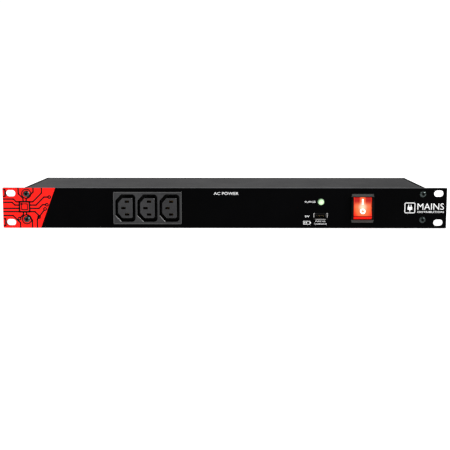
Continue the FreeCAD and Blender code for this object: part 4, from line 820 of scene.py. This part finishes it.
@dataclass(frozen=True)
class LitFinish(Finish):
    """Translucent plastic lit from a point behind it."""

    source: Point = (0.0, 0.0, 0.0)
    reach: float = 0.014
    core: Colour = (1.0, 0.9, 0.7)
    glow: Colour = (1.0, 0.2, 0.05)
    rim: Colour = (0.35, 0.01, 0.0)
    strength: float = 1.0
    core_share: float = 0.32
    squash: Point = (1.0, 1.0, 1.0)
    scratch_colour: Colour = (0.9, 0.4, 0.3)

    def shade(self, graph: Graph, light: Socket) -> Socket:
        """Light that gets out, after what stands in its way."""
        return light

    def build(self, effects: Effects) -> Material:
        """Make the material.

        Args:
            effects: The shared surface effects.

        Returns:
            The new material.
        """
        material, graph, shader = self.open()
        grain = graph.group(effects.grain, Scale=500.0)
        offset = graph.vector("SUBTRACT", graph.place(), self.source).outputs[0]
        shaped = graph.vector("MULTIPLY", offset, self.squash).outputs[0]
        length = graph.vector("LENGTH", shaped).outputs["Value"]
        share = graph.math("DIVIDE", length, self.reach, clamp=True)
        wavy = graph.math("ADD", share, graph.math("MULTIPLY_ADD", grain.outputs["Drift"], 0.08, -0.04))
        ramp = graph.add("ShaderNodeValToRGB")
        graph.join(wavy, ramp.inputs[0])
        ramp.color_ramp.interpolation = "EASE"
        stops = ramp.color_ramp.elements
        stops[0].position, stops[0].color = 0.0, rgba(self.core)
        stops[1].position, stops[1].color = 1.0, rgba(self.rim)
        middle = stops.new(self.core_share)
        middle.color = rgba(self.glow)
        graph.join(self.shade(graph, ramp.outputs[0]), shader.inputs["Emission Color"])
        shader.inputs["Emission Strength"].default_value = self.strength
        scuffed = graph.mask(effects.scuff, Scale=70.0, Amount=0.2)
        graph.join(graph.blend(scuffed, self.colour, self.scratch_colour), shader.inputs["Base Color"])
        rough = graph.math("MULTIPLY_ADD", grain.outputs["Tone"], 0.1, self.roughness)
        graph.join(rough, shader.inputs["Roughness"])
        self.bump(graph, shader, grain.outputs["Height"], 0.00001)
        return material


@dataclass(frozen=True)
class RockerGlow(LitFinish):
    """Lit rocker: dim upper corners, painted shade as a dark line on a crease near its foot and a darker red
    painted shade on its end.
    """

    centre_x: float = 0.15
    crease_z: float = -0.0084
    corner_colour: Colour = (0.30, 0.002, 0.0)
    foot_shade_colour: Colour = (0.80, 0.008, 0.002)
    crease_shade_colour: Colour = (0.10, 0.002, 0.001)

    def shade(self, graph: Graph, light: Socket) -> Socket:
        """Dim the upper corners and paint shade on the crease and the foot."""
        x, _, z = graph.split(graph.place())
        across = graph.math("ABSOLUTE", graph.math("SUBTRACT", x, self.centre_x))
        flank = graph.math("MULTIPLY", graph.span(across, 0.0012, 0.0042),
                           graph.span(across, 0.0094, 0.0084))
        upper = graph.math("MULTIPLY", flank, graph.span(z, 0.0020, 0.0085))
        lit = graph.blend(upper, light, self.corner_colour)
        # painted shade: darker plain red on the end below the crease
        lit = graph.blend(graph.span(z, self.crease_z, self.crease_z - 0.0004), lit, self.foot_shade_colour)
        # painted shade: dark line along the crease
        off_crease = graph.math("ABSOLUTE", graph.math("SUBTRACT", z, self.crease_z))
        return graph.blend(graph.span(off_crease, 0.00065, 0.00030), lit, self.crease_shade_colour)


@dataclass(frozen=True)
class InkFinish(Finish):
    """Screen-printed ink with slight pinholes and uneven cover."""

    specular: float = 0.2
    thin_colour: Colour = (0.5, 0.5, 0.5)
    # emission; on the white and red panel inks it is a painted glow, as that ink is no lamp
    glow: float = 0.0

    def build(self, effects: Effects) -> Material:
        """Make the material.

        Args:
            effects: The shared surface effects.

        Returns:
            The new material.
        """
        material, graph, shader = self.open()
        grain = graph.group(effects.grain, Scale=2200.0)
        thin = graph.math("MULTIPLY", grain.outputs["Drift"], 0.12)
        colour = graph.blend(thin, self.colour, self.thin_colour)
        graph.join(colour, shader.inputs["Base Color"])
        rough = graph.math("MULTIPLY_ADD", grain.outputs["Tone"], 0.15, self.roughness)
        graph.join(rough, shader.inputs["Roughness"])
        if self.glow:
            graph.join(colour, shader.inputs["Emission Color"])
            shader.inputs["Emission Strength"].default_value = self.glow
        self.bump(graph, shader, grain.outputs["Height"], 0.000008)
        return material


def box_of(node: str) -> tuple[Point, Point]:
    """Box round a CAD node, in metres."""
    low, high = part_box(node)
    return tuple(low), tuple(high)


class Wardrobe:
    """Every finish of the power strip, and which CAD node wears which."""

    WORN = {
        "front_panel": "panel_coat", "chassis_tray": "case_coat", "top_cover": "cover_coat",
        "front_panel_screws": "screw_black_oxide", "cover_rear_screws": "screw_bright",
        "cover_side_screws": "blackened_steel", "inlet_body": "inlet_mould",
        "inlet_line_neutral_pins": "nickel_plate", "inlet_earth_pin": "nickel_plate",
        "inlet_screws": "blackened_steel", "breaker_body": "breaker_mould", "breaker_nut": "nut_black_plate",
        "breaker_button": "button_mould", "breaker_spring": "spring_wire",
        "breaker_terminals": "rolled_brass",
        "switch_housing": "switch_mould", "switch_rocker": "rocker_glow", "switch_plungers": "rolled_brass",
        "switch_springs": "spring_wire", "switch_levers": "rolled_brass", "switch_terminals": "rolled_brass",
        "switch_lamp": "lamp_glow", "led_lens": "lens_glow", "led_lamp": "lens_glow",
        "usb_shell": "socket_shell", "usb_tongue": "switch_mould", "usb_contacts": "gold_flash",
        "usb_board": "board_laminate", "usb_board_parts": "epoxy_block", "surge_board": "board_laminate",
        "board_spacers": "rolled_brass", "board_screws": "nickel_plate", "surge_varistors": "varistor_dip",
        "surge_capacitors": "capacitor_box", "surge_choke_core": "ferrite_ring",
        "surge_choke_windings": "enamelled_copper", "terminal_block": "terminal_green",
        "earth_studs": "nickel_plate", "earth_nuts": "nickel_plate", "earth_rings": "tinned_copper",
        "spade_connectors": "sleeve_red", "line_wires": "wire_brown", "neutral_wires": "wire_blue",
        "earth_wires": "wire_green", "signal_wires": "wire_grey",
    }

    def __init__(self, effects: Effects) -> None:
        """Build the finishes from their shared effects."""
        families = (self.outlets, self.coats, self.moulds, self.plastics, self.screws, self.metals,
                    self.lights, self.inks)
        self.finishes = {finish.name: finish.build(effects) for family in families for finish in family()}

    @staticmethod
    def outlets() -> list[Finish]:
        """Moulding of the three outlet modules, with painted shade in their recesses and a painted highlight
        on their chamfers, brighter on the front one.
        """
        front_glint, rear_glint = (0.85, 0.85, 0.85), (0.22, 0.22, 0.22)
        front_recess_shade, rear_recess_shade = (-0.0045, 1.0), (0.1485, -1.0)
        return [
            GrainedFinish(
                f"outlet_mould_{place}", (0.040, 0.040, 0.042), 0.5, 0.15, grain_scale=1400.0,
                grain_depth=0.00002, drift=0.35, wear_light_and_shade_colour=(0.10, 0.10, 0.10), edge_width=0.0009,
                edge_box=box_of(f"{place}_outlet_housing"), scuffs=0.06, dust=0.03, slope_wear_and_highlight=0.6,
                recess_shade=recess_shade, glint_towards=(side, 0.0, 0.7071), glint_colour=glint, glint_depth=depth,
            )
            for place, recess_shade, side, glint, depth in (
                ("front", front_recess_shade, 0.7071, front_glint, 0.0020),
                ("rear_a", rear_recess_shade, -0.7071, rear_glint, 0.0012),
                ("rear_b", rear_recess_shade, -0.7071, rear_glint, 0.0012),
            )
        ]

    @staticmethod
    def coats() -> list[Finish]:
        """Powder coats of the panel, the case and its cover."""
        black = (0.0012, 0.0012, 0.0014)
        return [
            WedgePaint("panel_coat", black, 0.4, 0.015, edge_box=box_of("front_panel"), edge_width=0.0004,
                       wear_light_and_shade_colour=(0.05, 0.05, 0.052), dust=0.02, scuffs=0.01, grain_depth=0.00002),
            GrainedFinish("case_coat", black, 0.42, 0.02, edge_box=box_of("chassis_tray"), edge_width=0.0005,
                          wear_light_and_shade_colour=(0.012, 0.012, 0.012), dust=0.03, scuffs=0.03, grain_depth=0.00003),
            # painted shade: a wide near-black band darkens the cover along its folds
            GrainedFinish("cover_coat", (0.046, 0.046, 0.048), 0.55, 0.05, edge_box=box_of("top_cover"),
                          edge_width=0.0034, wear_light_and_shade_colour=(0.0015, 0.0015, 0.0015), dust=0.06, scuffs=0.05,
                          grain_depth=0.00003),
        ]

    @staticmethod
    def moulds() -> list[Finish]:
        """Black mouldings that show from outside."""
        return [
            # inlet: painted shade in its recess, and no painted glint
            GrainedFinish("inlet_mould", (0.022, 0.022, 0.023), 0.45, 0.2, grain_scale=1400.0, drift=0.12,
                          grain_depth=0.00002, wear_light_and_shade_colour=(0.14, 0.14, 0.14), edge_box=box_of("inlet_body"),
                          edge_width=0.0006, scuffs=0.06, dust=0.03, slope_wear_and_highlight=0.9, recess_shade=(0.1497, -1.0),
                          recess_shade_reach=0.002, glint_towards=(0.0, 0.0, 0.0)),
            BarredMould("switch_mould", (0.002, 0.002, 0.002), 0.35, 0.05, grain_scale=1600.0, drift=0.1,
                        grain_depth=0.00001, wear_light_and_shade_colour=(0.08, 0.08, 0.08), scuffs=0.04),
            GrainedFinish("breaker_mould", (0.006, 0.006, 0.006), 0.3, 0.3, grain_scale=1500.0, drift=0.1,
                          grain_depth=0.00001, wear_light_and_shade_colour=(0.05, 0.05, 0.05), scuffs=0.08, slope_wear_and_highlight=0.7),
            GrainedFinish("button_mould", (0.002, 0.002, 0.002), 0.3, 0.1, grain_scale=1500.0, drift=0.1,
                          grain_depth=0.00001, wear_light_and_shade_colour=(0.03, 0.03, 0.03), scuffs=0.05, slope_wear_and_highlight=0.5),
        ]

    @staticmethod
    def plastics() -> list[Finish]:
        """Boards, components and sleeves inside the case."""
        plain = {
            "epoxy_block": ((0.03, 0.03, 0.03), 0.45, 0.4), "varistor_dip": ((0.02, 0.08, 0.3), 0.25, 0.5),
            "capacitor_box": ((0.75, 0.58, 0.08), 0.4, 0.5), "terminal_green": ((0.05, 0.3, 0.1), 0.4, 0.5),
            "sleeve_red": ((0.55, 0.03, 0.02), 0.35, 0.5), "wire_brown": ((0.16, 0.06, 0.025), 0.4, 0.5),
            "wire_blue": ((0.02, 0.08, 0.38), 0.4, 0.5), "wire_green": ((0.07, 0.36, 0.05), 0.4, 0.5),
            "wire_grey": ((0.3, 0.3, 0.3), 0.4, 0.5),
        }
        return [GrainedFinish(name, *surface) for name, surface in plain.items()] + [
            GrainedFinish("board_laminate", (0.02, 0.16, 0.06), 0.35, 0.5, grain_scale=600.0),
            GrainedFinish("ferrite_ring", (0.045, 0.045, 0.047), 0.6, 0.4, grain_scale=500.0,
                          grain_depth=0.0001),
        ]

    @staticmethod
    def screws() -> list[Finish]:
        """Screw heads with painted shade in their drive recess, and the black dress nut."""
        return [
            RecessedScrew("screw_black_oxide", (0.055, 0.068, 0.066), 0.2, 0.4, line_scale=260.0,
                          tarnish_and_shade=(0.006, 0.007, 0.007),
                          places=tuple((x, z) for x in (-215.3, 215.3) for z in (15.4, -12.6))),
            RecessedScrew("screw_bright", (0.42, 0.41, 0.39), 0.25, 0.5, line_scale=260.0, bore=0.0013,
                          tarnish_and_shade=(0.03, 0.03, 0.03), tarnish_share=0.15,
                          places=tuple((x, 16.5) for x in (-159.4, 8.6, 195.4))),
            MetalFinish("nut_black_plate", (0.15, 0.15, 0.152), 0.32, 0.4, stretch=(1.0, 40.0, 1.0),
                        tarnish_and_shade=(0.05, 0.05, 0.05)),
        ]

    @staticmethod
    def metals() -> list[Finish]:
        """Bare and plated metals."""
        return [
            MetalFinish("blackened_steel", (0.035, 0.035, 0.036), 0.35, 0.4, tarnish_and_shade=(0.01, 0.01, 0.01)),
            MetalFinish("nickel_plate", (0.75, 0.73, 0.69), 0.22, 0.5, line_scale=260.0,
                        tarnish_and_shade=(0.4, 0.37, 0.32)),
            # painted reflection: bright sides and lower lip, near-black elsewhere
            SocketShell("socket_shell", (0.72, 0.71, 0.69), 0.25, 0.5, line_scale=260.0,
                        tarnish_and_shade=(0.02, 0.02, 0.02)),
            MetalFinish("spring_wire", (0.5, 0.5, 0.5), 0.3, 0.5, line_scale=400.0),
            MetalFinish("rolled_brass", (0.46, 0.32, 0.13), 0.35, 0.5, tarnish_and_shade=(0.12, 0.07, 0.03),
                        tarnish_share=0.5),
            MetalFinish("gold_flash", (0.95, 0.68, 0.28), 0.2, 0.5, tarnish_and_shade=(0.6, 0.4, 0.15)),
            MetalFinish("enamelled_copper", (0.72, 0.3, 0.14), 0.25, 0.5, stretch=(20.0, 20.0, 1.0)),
            MetalFinish("tinned_copper", (0.62, 0.62, 0.6), 0.35, 0.5, tarnish_and_shade=(0.3, 0.28, 0.25)),
        ]

    @staticmethod
    def lights() -> list[Finish]:
        """Plastics that are lit from behind."""
        return [
            RockerGlow("rocker_glow", (0.22, 0.003, 0.002), 0.18, 0.15, source=(0.150, -0.006, 0.0012),
                       reach=0.0118, core=(1.0, 0.95, 0.68), glow=(1.0, 0.22, 0.07),
                       rim=(0.92, 0.025, 0.006), strength=0.95, core_share=0.52, squash=(1.0, 0.3, 0.8)),
            LitFinish("lamp_glow", (0.8, 0.4, 0.2), 0.1, 0.5, source=(0.150, -0.001, -0.005), reach=0.006,
                      core=(1.0, 0.8, 0.5), glow=(1.0, 0.4, 0.1), rim=(0.8, 0.2, 0.05), strength=1.5),
            LitFinish("lens_glow", (0.2, 0.3, 0.2), 0.16, 0.45, coat=0.2, source=(0.1054, -0.005, 0.0065),
                      reach=0.0038, core=(0.88, 1.0, 0.74), glow=(0.60, 0.86, 0.46), rim=(0.03, 0.09, 0.03),
                      strength=0.85, core_share=0.62),
        ]

    @staticmethod
    def inks() -> list[Finish]:
        """Printing inks of the panel and the rocker."""
        return [
            # painted glow: the white panel ink emits a little light
            InkFinish("white_ink", (0.92, 0.92, 0.92), 0.4, thin_colour=(0.75, 0.75, 0.75), glow=0.1),
            InkFinish("lit_ink", (1.0, 0.95, 0.9), 0.4, thin_colour=(1.0, 0.8, 0.6), glow=0.8),
            InkFinish("black_ink", (0.004, 0.004, 0.004), 0.4, 0.1, thin_colour=(0.02, 0.005, 0.005)),
            # painted glow: the red panel ink emits light
            InkFinish("red_ink", (0.92, 0.014, 0.010), 0.5, 0.03, thin_colour=(0.8, 0.02, 0.015), glow=0.3),
        ]

    def __getitem__(self, name: str) -> Material:
        """Finish by name."""
        return self.finishes[name]

    def node_finish(self, node: str) -> str:
        """Name of the finish that a CAD node wears."""
        if node.endswith("_bus"):
            return "rolled_brass"
        return self.WORN.get(node, "outlet_mould_" + node.split("_outlet_")[0])

    def dress_nodes(self) -> None:
        """Give every CAD node its finish."""
        for node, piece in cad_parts.items():
            material = self[self.node_finish(node)]
            if piece.material_slots:
                for place in piece.material_slots:
                    place.material = material
            else:
                piece.data.materials.append(material)
            LOG.info("dressed %s in %s", node, material.name)


# ---------------------------------------------------------------- printed panel


@dataclass
class PanelPrint:
    """Everything screen-printed on the front panel, in millimetres."""

    finishes: Wardrobe
    face: float = -3.0
    ink: float = 0.03
    wedge_left: float = -240.95
    wedge_top: Flat = (-183.8, 21.7)
    wedge_low: Flat = (-200.1, -21.7)
    line: float = 1.6
    slots: tuple[Flat, ...] = ((-232.55, 15.875), (-232.55, -15.875))
    slot_run: float = 3.4
    slot_radius: float = 3.9
    screws: tuple[Flat, ...] = ((-215.3, 15.4), (-215.3, -12.6))
    screw_hole: float = 3.2
    screw_ring: Flat = (5.6, 4.4)
    chip_centre: Flat = (-217.6, 1.2)
    chip_size: float = 11.0
    chip_inset: float = 2.4
    chip_mark: Flat = (-220.8, 4.2)
    chip_mark_ring: Flat = (1.2, 0.6)
    traces: tuple[tuple[Flat, ...], ...] = (
        ((-241.0, 9.6), (-229.6, 9.6), (-226.6, 6.6), (-223.0, 6.6)),
        ((-241.0, 6.0), (-231.0, 6.0), (-228.0, 3.0), (-223.0, 3.0)),
        ((-241.0, -0.6), (-223.0, -0.6)),
        ((-241.0, -4.2), (-223.0, -4.2)),
        ((-241.0, -8.4), (-230.5, -8.4), (-222.5, -16.4), (-222.5, -22.0)),
        ((-212.0, 6.6), (-208.4, 6.6), (-198.6, 16.4), (-198.6, 22.0)),
        ((-212.0, 3.0), (-205.0, 3.0), (-196.2, 11.8), (-191.6, 11.8)),
        ((-212.0, -0.6), (-201.8, -0.6), (-197.8, 3.4), (-194.4, 3.4)),
        ((-212.0, -4.2), (-206.4, -4.2), (-202.0, -8.6), (-202.0, -9.0)),
        ((-219.0, 7.0), (-219.0, 10.4), (-224.0, 15.4), (-224.0, 22.0)),
        ((-215.6, 7.0), (-215.6, 9.6), (-207.8, 17.4), (-207.8, 22.0)),
        ((-219.0, -4.6), (-219.0, -7.4), (-222.6, -11.0)),
        ((-215.6, -4.6), (-215.6, -7.2), (-209.4, -13.4), (-209.4, -22.0)),
        ((-241.0, 20.0), (-238.4, 20.0), (-238.4, 12.6), (-241.0, 12.6)),
        ((-241.0, -12.0), (-238.6, -12.0), (-238.6, -19.6), (-241.0, -19.6)),
        ((-196.0, -2.2), (-204.0, -12.6), (-204.0, -22.0)),
    )
    pads: tuple[Flat, ...] = (
        (-190.4, 11.8), (-193.2, 3.4), (-202.0, -10.2), (-195.2, -1.2), (-223.4, -11.8),
    )
    pad_ring: Flat = (2.1, 0.8)
    words: tuple[tuple[str, str, Box, float], ...] = (
        ("print_title", "AC POWER", (-11.4, 15.4, 14.4, 17.4), 0.0),
        ("print_surge", "SURGE", (87.2, 99.2, 6.0, 7.8), 0.0),
        ("print_output", "5V", (87.6, 92.8, -10.0, -8.1), 0.01),
        ("print_limit", "MAX 2A", (99.2, 110.0, -15.0, -13.7), 0.0),
        ("print_charge", "CHARGING", (98.0, 111.4, -18.0, -16.6), 0.0),
        ("print_mains", "MAINS", (209.6, 238.2, -1.6, 5.4), -0.004),
        ("print_distribution", "DISTRIBUTION", (209.8, 238.0, -5.0, -3.1), 0.005),
    )
    battery: Box = (86.0, 93.4, -17.9, -14.1)
    battery_wall: float = 0.45
    battery_inset: float = 1.1
    battery_knob: float = 0.9
    battery_bars: tuple[Flat, ...] = ((1.2, 2.1), (3.1, 4.0))
    badge_centre: Flat = (201.4, 0.4)
    badge_half: float = 5.8
    badge_wall: float = 0.8
    badge_corner: float = 5.3
    plug_body: Box = (-2.5, 2.5, -2.0, 1.2)
    plug_pins: tuple[Box, ...] = ((-1.77, -0.93, 1.1, 3.4), (0.93, 1.77, 1.1, 3.4))
    plug_tail: Box = (-0.45, 0.45, -3.9, -1.9)

    def cut_slant(self, piece: Piece, inset: float = 0.0) -> Piece:
        """Cut a piece along the slanted border of the printed end."""
        (top_x, top_z), (low_x, low_z) = self.wedge_top, self.wedge_low
        return Bench.slice(piece, (top_x - inset, self.face, top_z), (top_z - low_z, 0.0, low_x - top_x))

    def slab(self) -> Piece:
        """Slanted patch of the printed end with its holes cut."""
        (top_x, top_z), (_, low_z) = self.wedge_top, self.wedge_low
        patch = self.cut_slant(self.patch("print_wedge", (self.wedge_left, top_x + 1, low_z, top_z)))
        half, radius, y = self.slot_run / 2, self.slot_radius, self.face
        cutters = []
        for index, (x, z) in enumerate(self.slots):
            cutters.append(Bench.block(f"slot_{index}", (x - half, y - 1, z - radius),
                                       (x + half, y + 1, z + radius)))
            cutters += [
                Bench.disc(f"slot_end_{index}_{side}", (x + side * half, y, z), radius, 2.0)
                for side in (-1, 1)
            ]
        cutters += [Bench.disc(f"screw_{k}", (x, y, z), self.screw_hole, 2.0)
                    for k, (x, z) in enumerate(self.screws)]
        return Bench.subtract(patch, cutters)

    def stroke(self, name: str, start: Flat, end: Flat, width: float) -> Piece:
        """One straight printed line with a round end.

        Args:
            name: Name of the new object.
            start: X and Z of its start in millimetres.
            end: X and Z of its end in millimetres.
            width: Its width in millimetres.

        Returns:
            The line as a thin solid.
        """
        length, deep = math.dist(start, end), self.ink * 2
        x, z = (start[0] + end[0]) / 2, (start[1] + end[1]) / 2
        bar = Bench.block(name, (x - length / 2, self.face - deep, z - width / 2),
                          (x + length / 2, self.face, z + width / 2))
        lean = math.degrees(math.atan2(end[1] - start[1], end[0] - start[0]))
        Bench.turn(bar, -lean, (x, self.face, z), "Y")
        cap = Bench.disc(name + "_cap", (end[0], self.face - deep / 2, end[1]), width / 2, deep, sides=16)
        return Bench.merge(name, [bar, cap])

    def chip_square(self, name: str, half: float, width: float) -> list[Piece]:
        """Four strokes in a square round the chip's centre."""
        x, z = self.chip_centre
        corners = ((x - half, z - half), (x + half, z - half), (x + half, z + half), (x - half, z + half))
        return [self.stroke(f"{name}_{k}", corner, corners[(k + 1) % 4], width)
                for k, corner in enumerate(corners)]

    def rings(self, name: str, places: Sequence[Flat], radii: Flat, sides: int) -> list[Piece]:
        """Printed rings at some places.

        Args:
            name: Start of their names.
            places: X and Z of their centres in millimetres.
            radii: Their outer and inner radii in millimetres.
            sides: How many flats their rims have.

        Returns:
            The rings as thin solids.
        """
        deep = self.ink * 2
        return [Bench.ring(f"{name}_{k}", (x, self.face - deep / 2, z), *radii, deep, sides=sides)
                for k, (x, z) in enumerate(places)]

    def artwork(self) -> Piece:
        """Circuit-like line work, kept inside the printed end."""
        half = self.chip_size / 2
        strokes = [
            self.stroke(f"trace_{k}_{step}", start, end, self.line)
            for k, route in enumerate(self.traces)
            for step, (start, end) in enumerate(zip(route, route[1:]))
        ]
        strokes += self.rings("pad", self.pads, self.pad_ring, 32)
        strokes += self.rings("screw_ring", self.screws, self.screw_ring, 64)
        strokes += self.chip_square("chip", half, self.line * 1.2)
        strokes += self.rings("chip_mark", [self.chip_mark], self.chip_mark_ring, 32)
        strokes += self.chip_square("chip_core", half - self.chip_inset, self.line * 0.7)
        artwork = self.cut_slant(Bench.merge("wedge_artwork", strokes), 0.2)
        Bench.slice(artwork, (self.wedge_left + 0.1, self.face, 0.0), (-1.0, 0.0, 0.0))
        Bench.slice(artwork, (0.0, self.face, self.wedge_top[1] - 0.1), (0.0, 0.0, 1.0))
        return Bench.slice(artwork, (0.0, self.face, self.wedge_low[1] + 0.1), (0.0, 0.0, -1.0))

    def patch(self, name: str, box: Box, centre: Flat = (0.0, 0.0)) -> Piece:
        """Rectangle of ink on the panel.

        Args:
            name: Name of the new object.
            box: Left, right, bottom and top in millimetres from the centre.
            centre: X and Z of the centre in millimetres.

        Returns:
            The rectangle as a thin solid.
        """
        (left, right, low, top), (x, z) = box, centre
        return Bench.block(name, (x + left, self.face - self.ink, z + low), (x + right, self.face, z + top))

    def outline(self, name: str, box: Box, wall: float) -> Piece:
        """Rectangular frame of ink with a wall of one width."""
        left, right, low, top = box
        room = Bench.block(f"{name}_room", (left + wall, self.face - 1, low + wall),
                           (right - wall, self.face + 1, top - wall))
        return Bench.subtract(self.patch(name, box), [room])

    def battery_icon(self) -> Piece:
        """Small battery outline with two bars."""
        left, right, low, top = self.battery
        low, top = low + self.battery_inset, top - self.battery_inset
        pieces = [
            self.outline("battery_outline", self.battery, self.battery_wall),
            self.patch("battery_knob", (right, right + self.battery_knob, low, top)),
        ]
        pieces += [self.patch(f"battery_bar_{k}", (left + start, left + end, low, top))
                   for k, (start, end) in enumerate(self.battery_bars)]
        for piece in pieces:
            Bench.soften(piece, 0.2, 2, 80.0)
        return Bench.merge("print_battery", pieces)

    def plug_badge(self) -> Piece:
        """Plug in a square frame with cut corners."""
        (x, z), half, corner = self.badge_centre, self.badge_half, self.badge_corner
        edge = self.outline("badge_edge", (x - half, x + half, z - half, z + half), self.badge_wall)
        for across in (-1, 1):
            for up in (-1, 1):
                Bench.slice(edge, (x + across * corner, self.face, z + up * corner), (across, 0.0, up))
        body = Bench.soften(self.patch("badge_body", self.plug_body, (x, z)), 0.5, 3, 80.0)
        tail = self.patch("badge_tail", self.plug_tail, (x, z))
        pins = [self.patch(f"badge_pin_{k}", pin, (x, z)) for k, pin in enumerate(self.plug_pins)]
        return Bench.merge("print_badge", [edge, body, tail] + pins)

    def build(self) -> None:
        """Print the panel."""
        finish_piece(Bench.repair(self.slab()), "case", self.finishes["red_ink"])
        finish_piece(self.artwork(), "case", self.finishes["black_ink"])
        pieces = [Bench.lettering(name, text, box, self.face, weight, self.ink)
                  for name, text, box, weight in self.words]
        for piece in pieces + [self.battery_icon(), self.plug_badge()]:
            finish_piece(piece, "case", self.finishes["white_ink"])


# ---------------------------------------------------------------- rocker marks


@dataclass
class RockerMarks:
    """The on and off marks inked into the rocker's two faces."""

    finishes: Wardrobe
    centre_x: float = 150.0
    crease: Flat = (-4.545, 0.52)
    slope: float = 24.0
    proud: float = 0.04
    bar_half_width: float = 0.75
    bar_span: Flat = (4.0, 10.2)
    ring_drop: float = 3.9
    ring_radii: Flat = (3.0, 1.6)

    def on_mark(self) -> Piece:
        """Upright bar on the upper face."""
        y, half = self.crease[0], self.bar_half_width
        low, top = self.bar_span
        bar = Bench.block("rocker_mark_on", (self.centre_x - half, y - self.proud, low),
                          (self.centre_x + half, y, top))
        return Bench.soften(bar, 0.3, 3, 80.0)

    def off_mark(self) -> Piece:
        """Ring on the lower face, which leans out."""
        y, z = self.crease
        centre = (self.centre_x, y - self.proud / 2, z - self.ring_drop)
        ring = Bench.ring("rocker_mark_off", centre, *self.ring_radii, self.proud)
        return Bench.turn(ring, -self.slope, (self.centre_x, y, z))

    def build(self) -> None:
        """Ink both marks."""
        for piece in (self.on_mark(), self.off_mark()):
            finish_piece(piece, "rocker", self.finishes["lit_ink"])


# ---------------------------------------------------------------- studio


@dataclass
class Studio:
    """Floor, light and camera, in metres and watts."""

    eye: Point = (0.0104, -0.981, 0.1185)
    aim: Point = (0.0008, -0.003, -0.0186)
    lens: float = 72.48
    sensor: float = 36.0
    floor_z: float = -0.0222
    floor_size: float = 60.0
    floor_glow: float = 0.7
    backdrop: float = 1.05
    ambient: float = 0.4
    softboxes: tuple[tuple[str, Point, Point, Flat, float], ...] = (
        ("key_light", (1.5, -0.75, 1.1), (0.0, 0.0, 0.0), (0.5, 0.5), 20.0),
        ("fill_light", (-1.2, -1.0, 1.2), (0.0, 0.0, 0.0), (1.0, 0.8), 5.0),
        ("rear_key_light", (-0.7, 1.3, 1.1), (0.0, 0.1, 0.0), (0.5, 0.5), 7.0),
        ("back_light", (0.12, 1.6, 0.5), (0.05, 0.05, 0.0), (0.6, 0.25), 0.4),
    )

    def floor(self) -> None:
        """Plain pale floor under the object."""
        Bench.clear()
        bpy.ops.mesh.primitive_plane_add(size=self.floor_size, location=(0.0, 0.0, self.floor_z))
        plane = bpy.context.object
        plane.name = "studio_floor"
        pale, paler = (0.93, 0.93, 0.93), (0.96, 0.96, 0.96)
        material, graph, shader = Finish("studio_paper", pale, roughness=0.9, specular=0.1).open()
        graph.join(graph.blend(graph.noise(graph.place(), 3.0), pale, paler), shader.inputs["Base Color"])
        shader.inputs["Emission Color"].default_value = rgba(WHITE)
        shader.inputs["Emission Strength"].default_value = self.floor_glow
        plane.data.materials.append(material)

    @staticmethod
    def stand(data: bpy.types.ID, place: Point, aim: Point) -> Piece:
        """Stand a light or a camera at a place and turn it to its aim.

        Args:
            data: The light or camera.
            place: Where it stands, in metres.
            aim: What it points at, in metres.

        Returns:
            The new object, named as its data.
        """
        piece = bpy.data.objects.new(data.name, data)
        bpy.context.scene.collection.objects.link(piece)
        piece.location = place
        piece.rotation_euler = (Vector(aim) - Vector(place)).to_track_quat("-Z", "Y").to_euler()
        return piece

    def surround(self) -> None:
        """Even white world, paler to the camera than to the object."""
        world = bpy.data.worlds.new("studio_surround")
        bpy.context.scene.world = world
        world.use_nodes = True
        graph = Graph(world.node_tree)
        mix = graph.add("ShaderNodeMixShader")
        graph.join(graph.add("ShaderNodeLightPath").outputs["Is Camera Ray"], mix.inputs[0])
        for socket, strength in ((1, self.ambient), (2, self.backdrop)):
            ground = graph.add("ShaderNodeBackground")
            ground.inputs["Color"].default_value = rgba(WHITE)
            ground.inputs["Strength"].default_value = strength
            graph.join(ground.outputs[0], mix.inputs[socket])
        graph.join(mix.outputs[0], graph.add("ShaderNodeOutputWorld").inputs["Surface"])

    def light(self) -> None:
        """Soft key, fill and back lights."""
        for name, place, aim, (width, height), power in self.softboxes:
            data = bpy.data.lights.new(name, "AREA")
            data.shape = "RECTANGLE"
            data.size, data.size_y, data.energy = width, height, power
            self.stand(data, place, aim)

    def camera(self) -> None:
        """Camera a little above the panel, square to it."""
        data = bpy.data.cameras.new("main_camera")
        data.lens, data.sensor_width = self.lens, self.sensor
        bpy.context.scene.camera = self.stand(data, self.eye, self.aim)

    def build(self) -> None:
        """Set up the studio."""
        self.floor()
        self.surround()
        self.light()
        self.camera()
        bpy.context.scene.view_settings.view_transform = "Standard"
        LOG.info("studio ready")


def main() -> None:
    """Build the whole scene in order."""
    logging.basicConfig(level=logging.INFO, format="%(name)s: %(message)s")
    Studio().build()
    finishes = Wardrobe(Effects())
    finishes.dress_nodes()
    PanelPrint(finishes).build()
    RockerMarks(finishes).build()


if __name__ == "__main__":
    main()
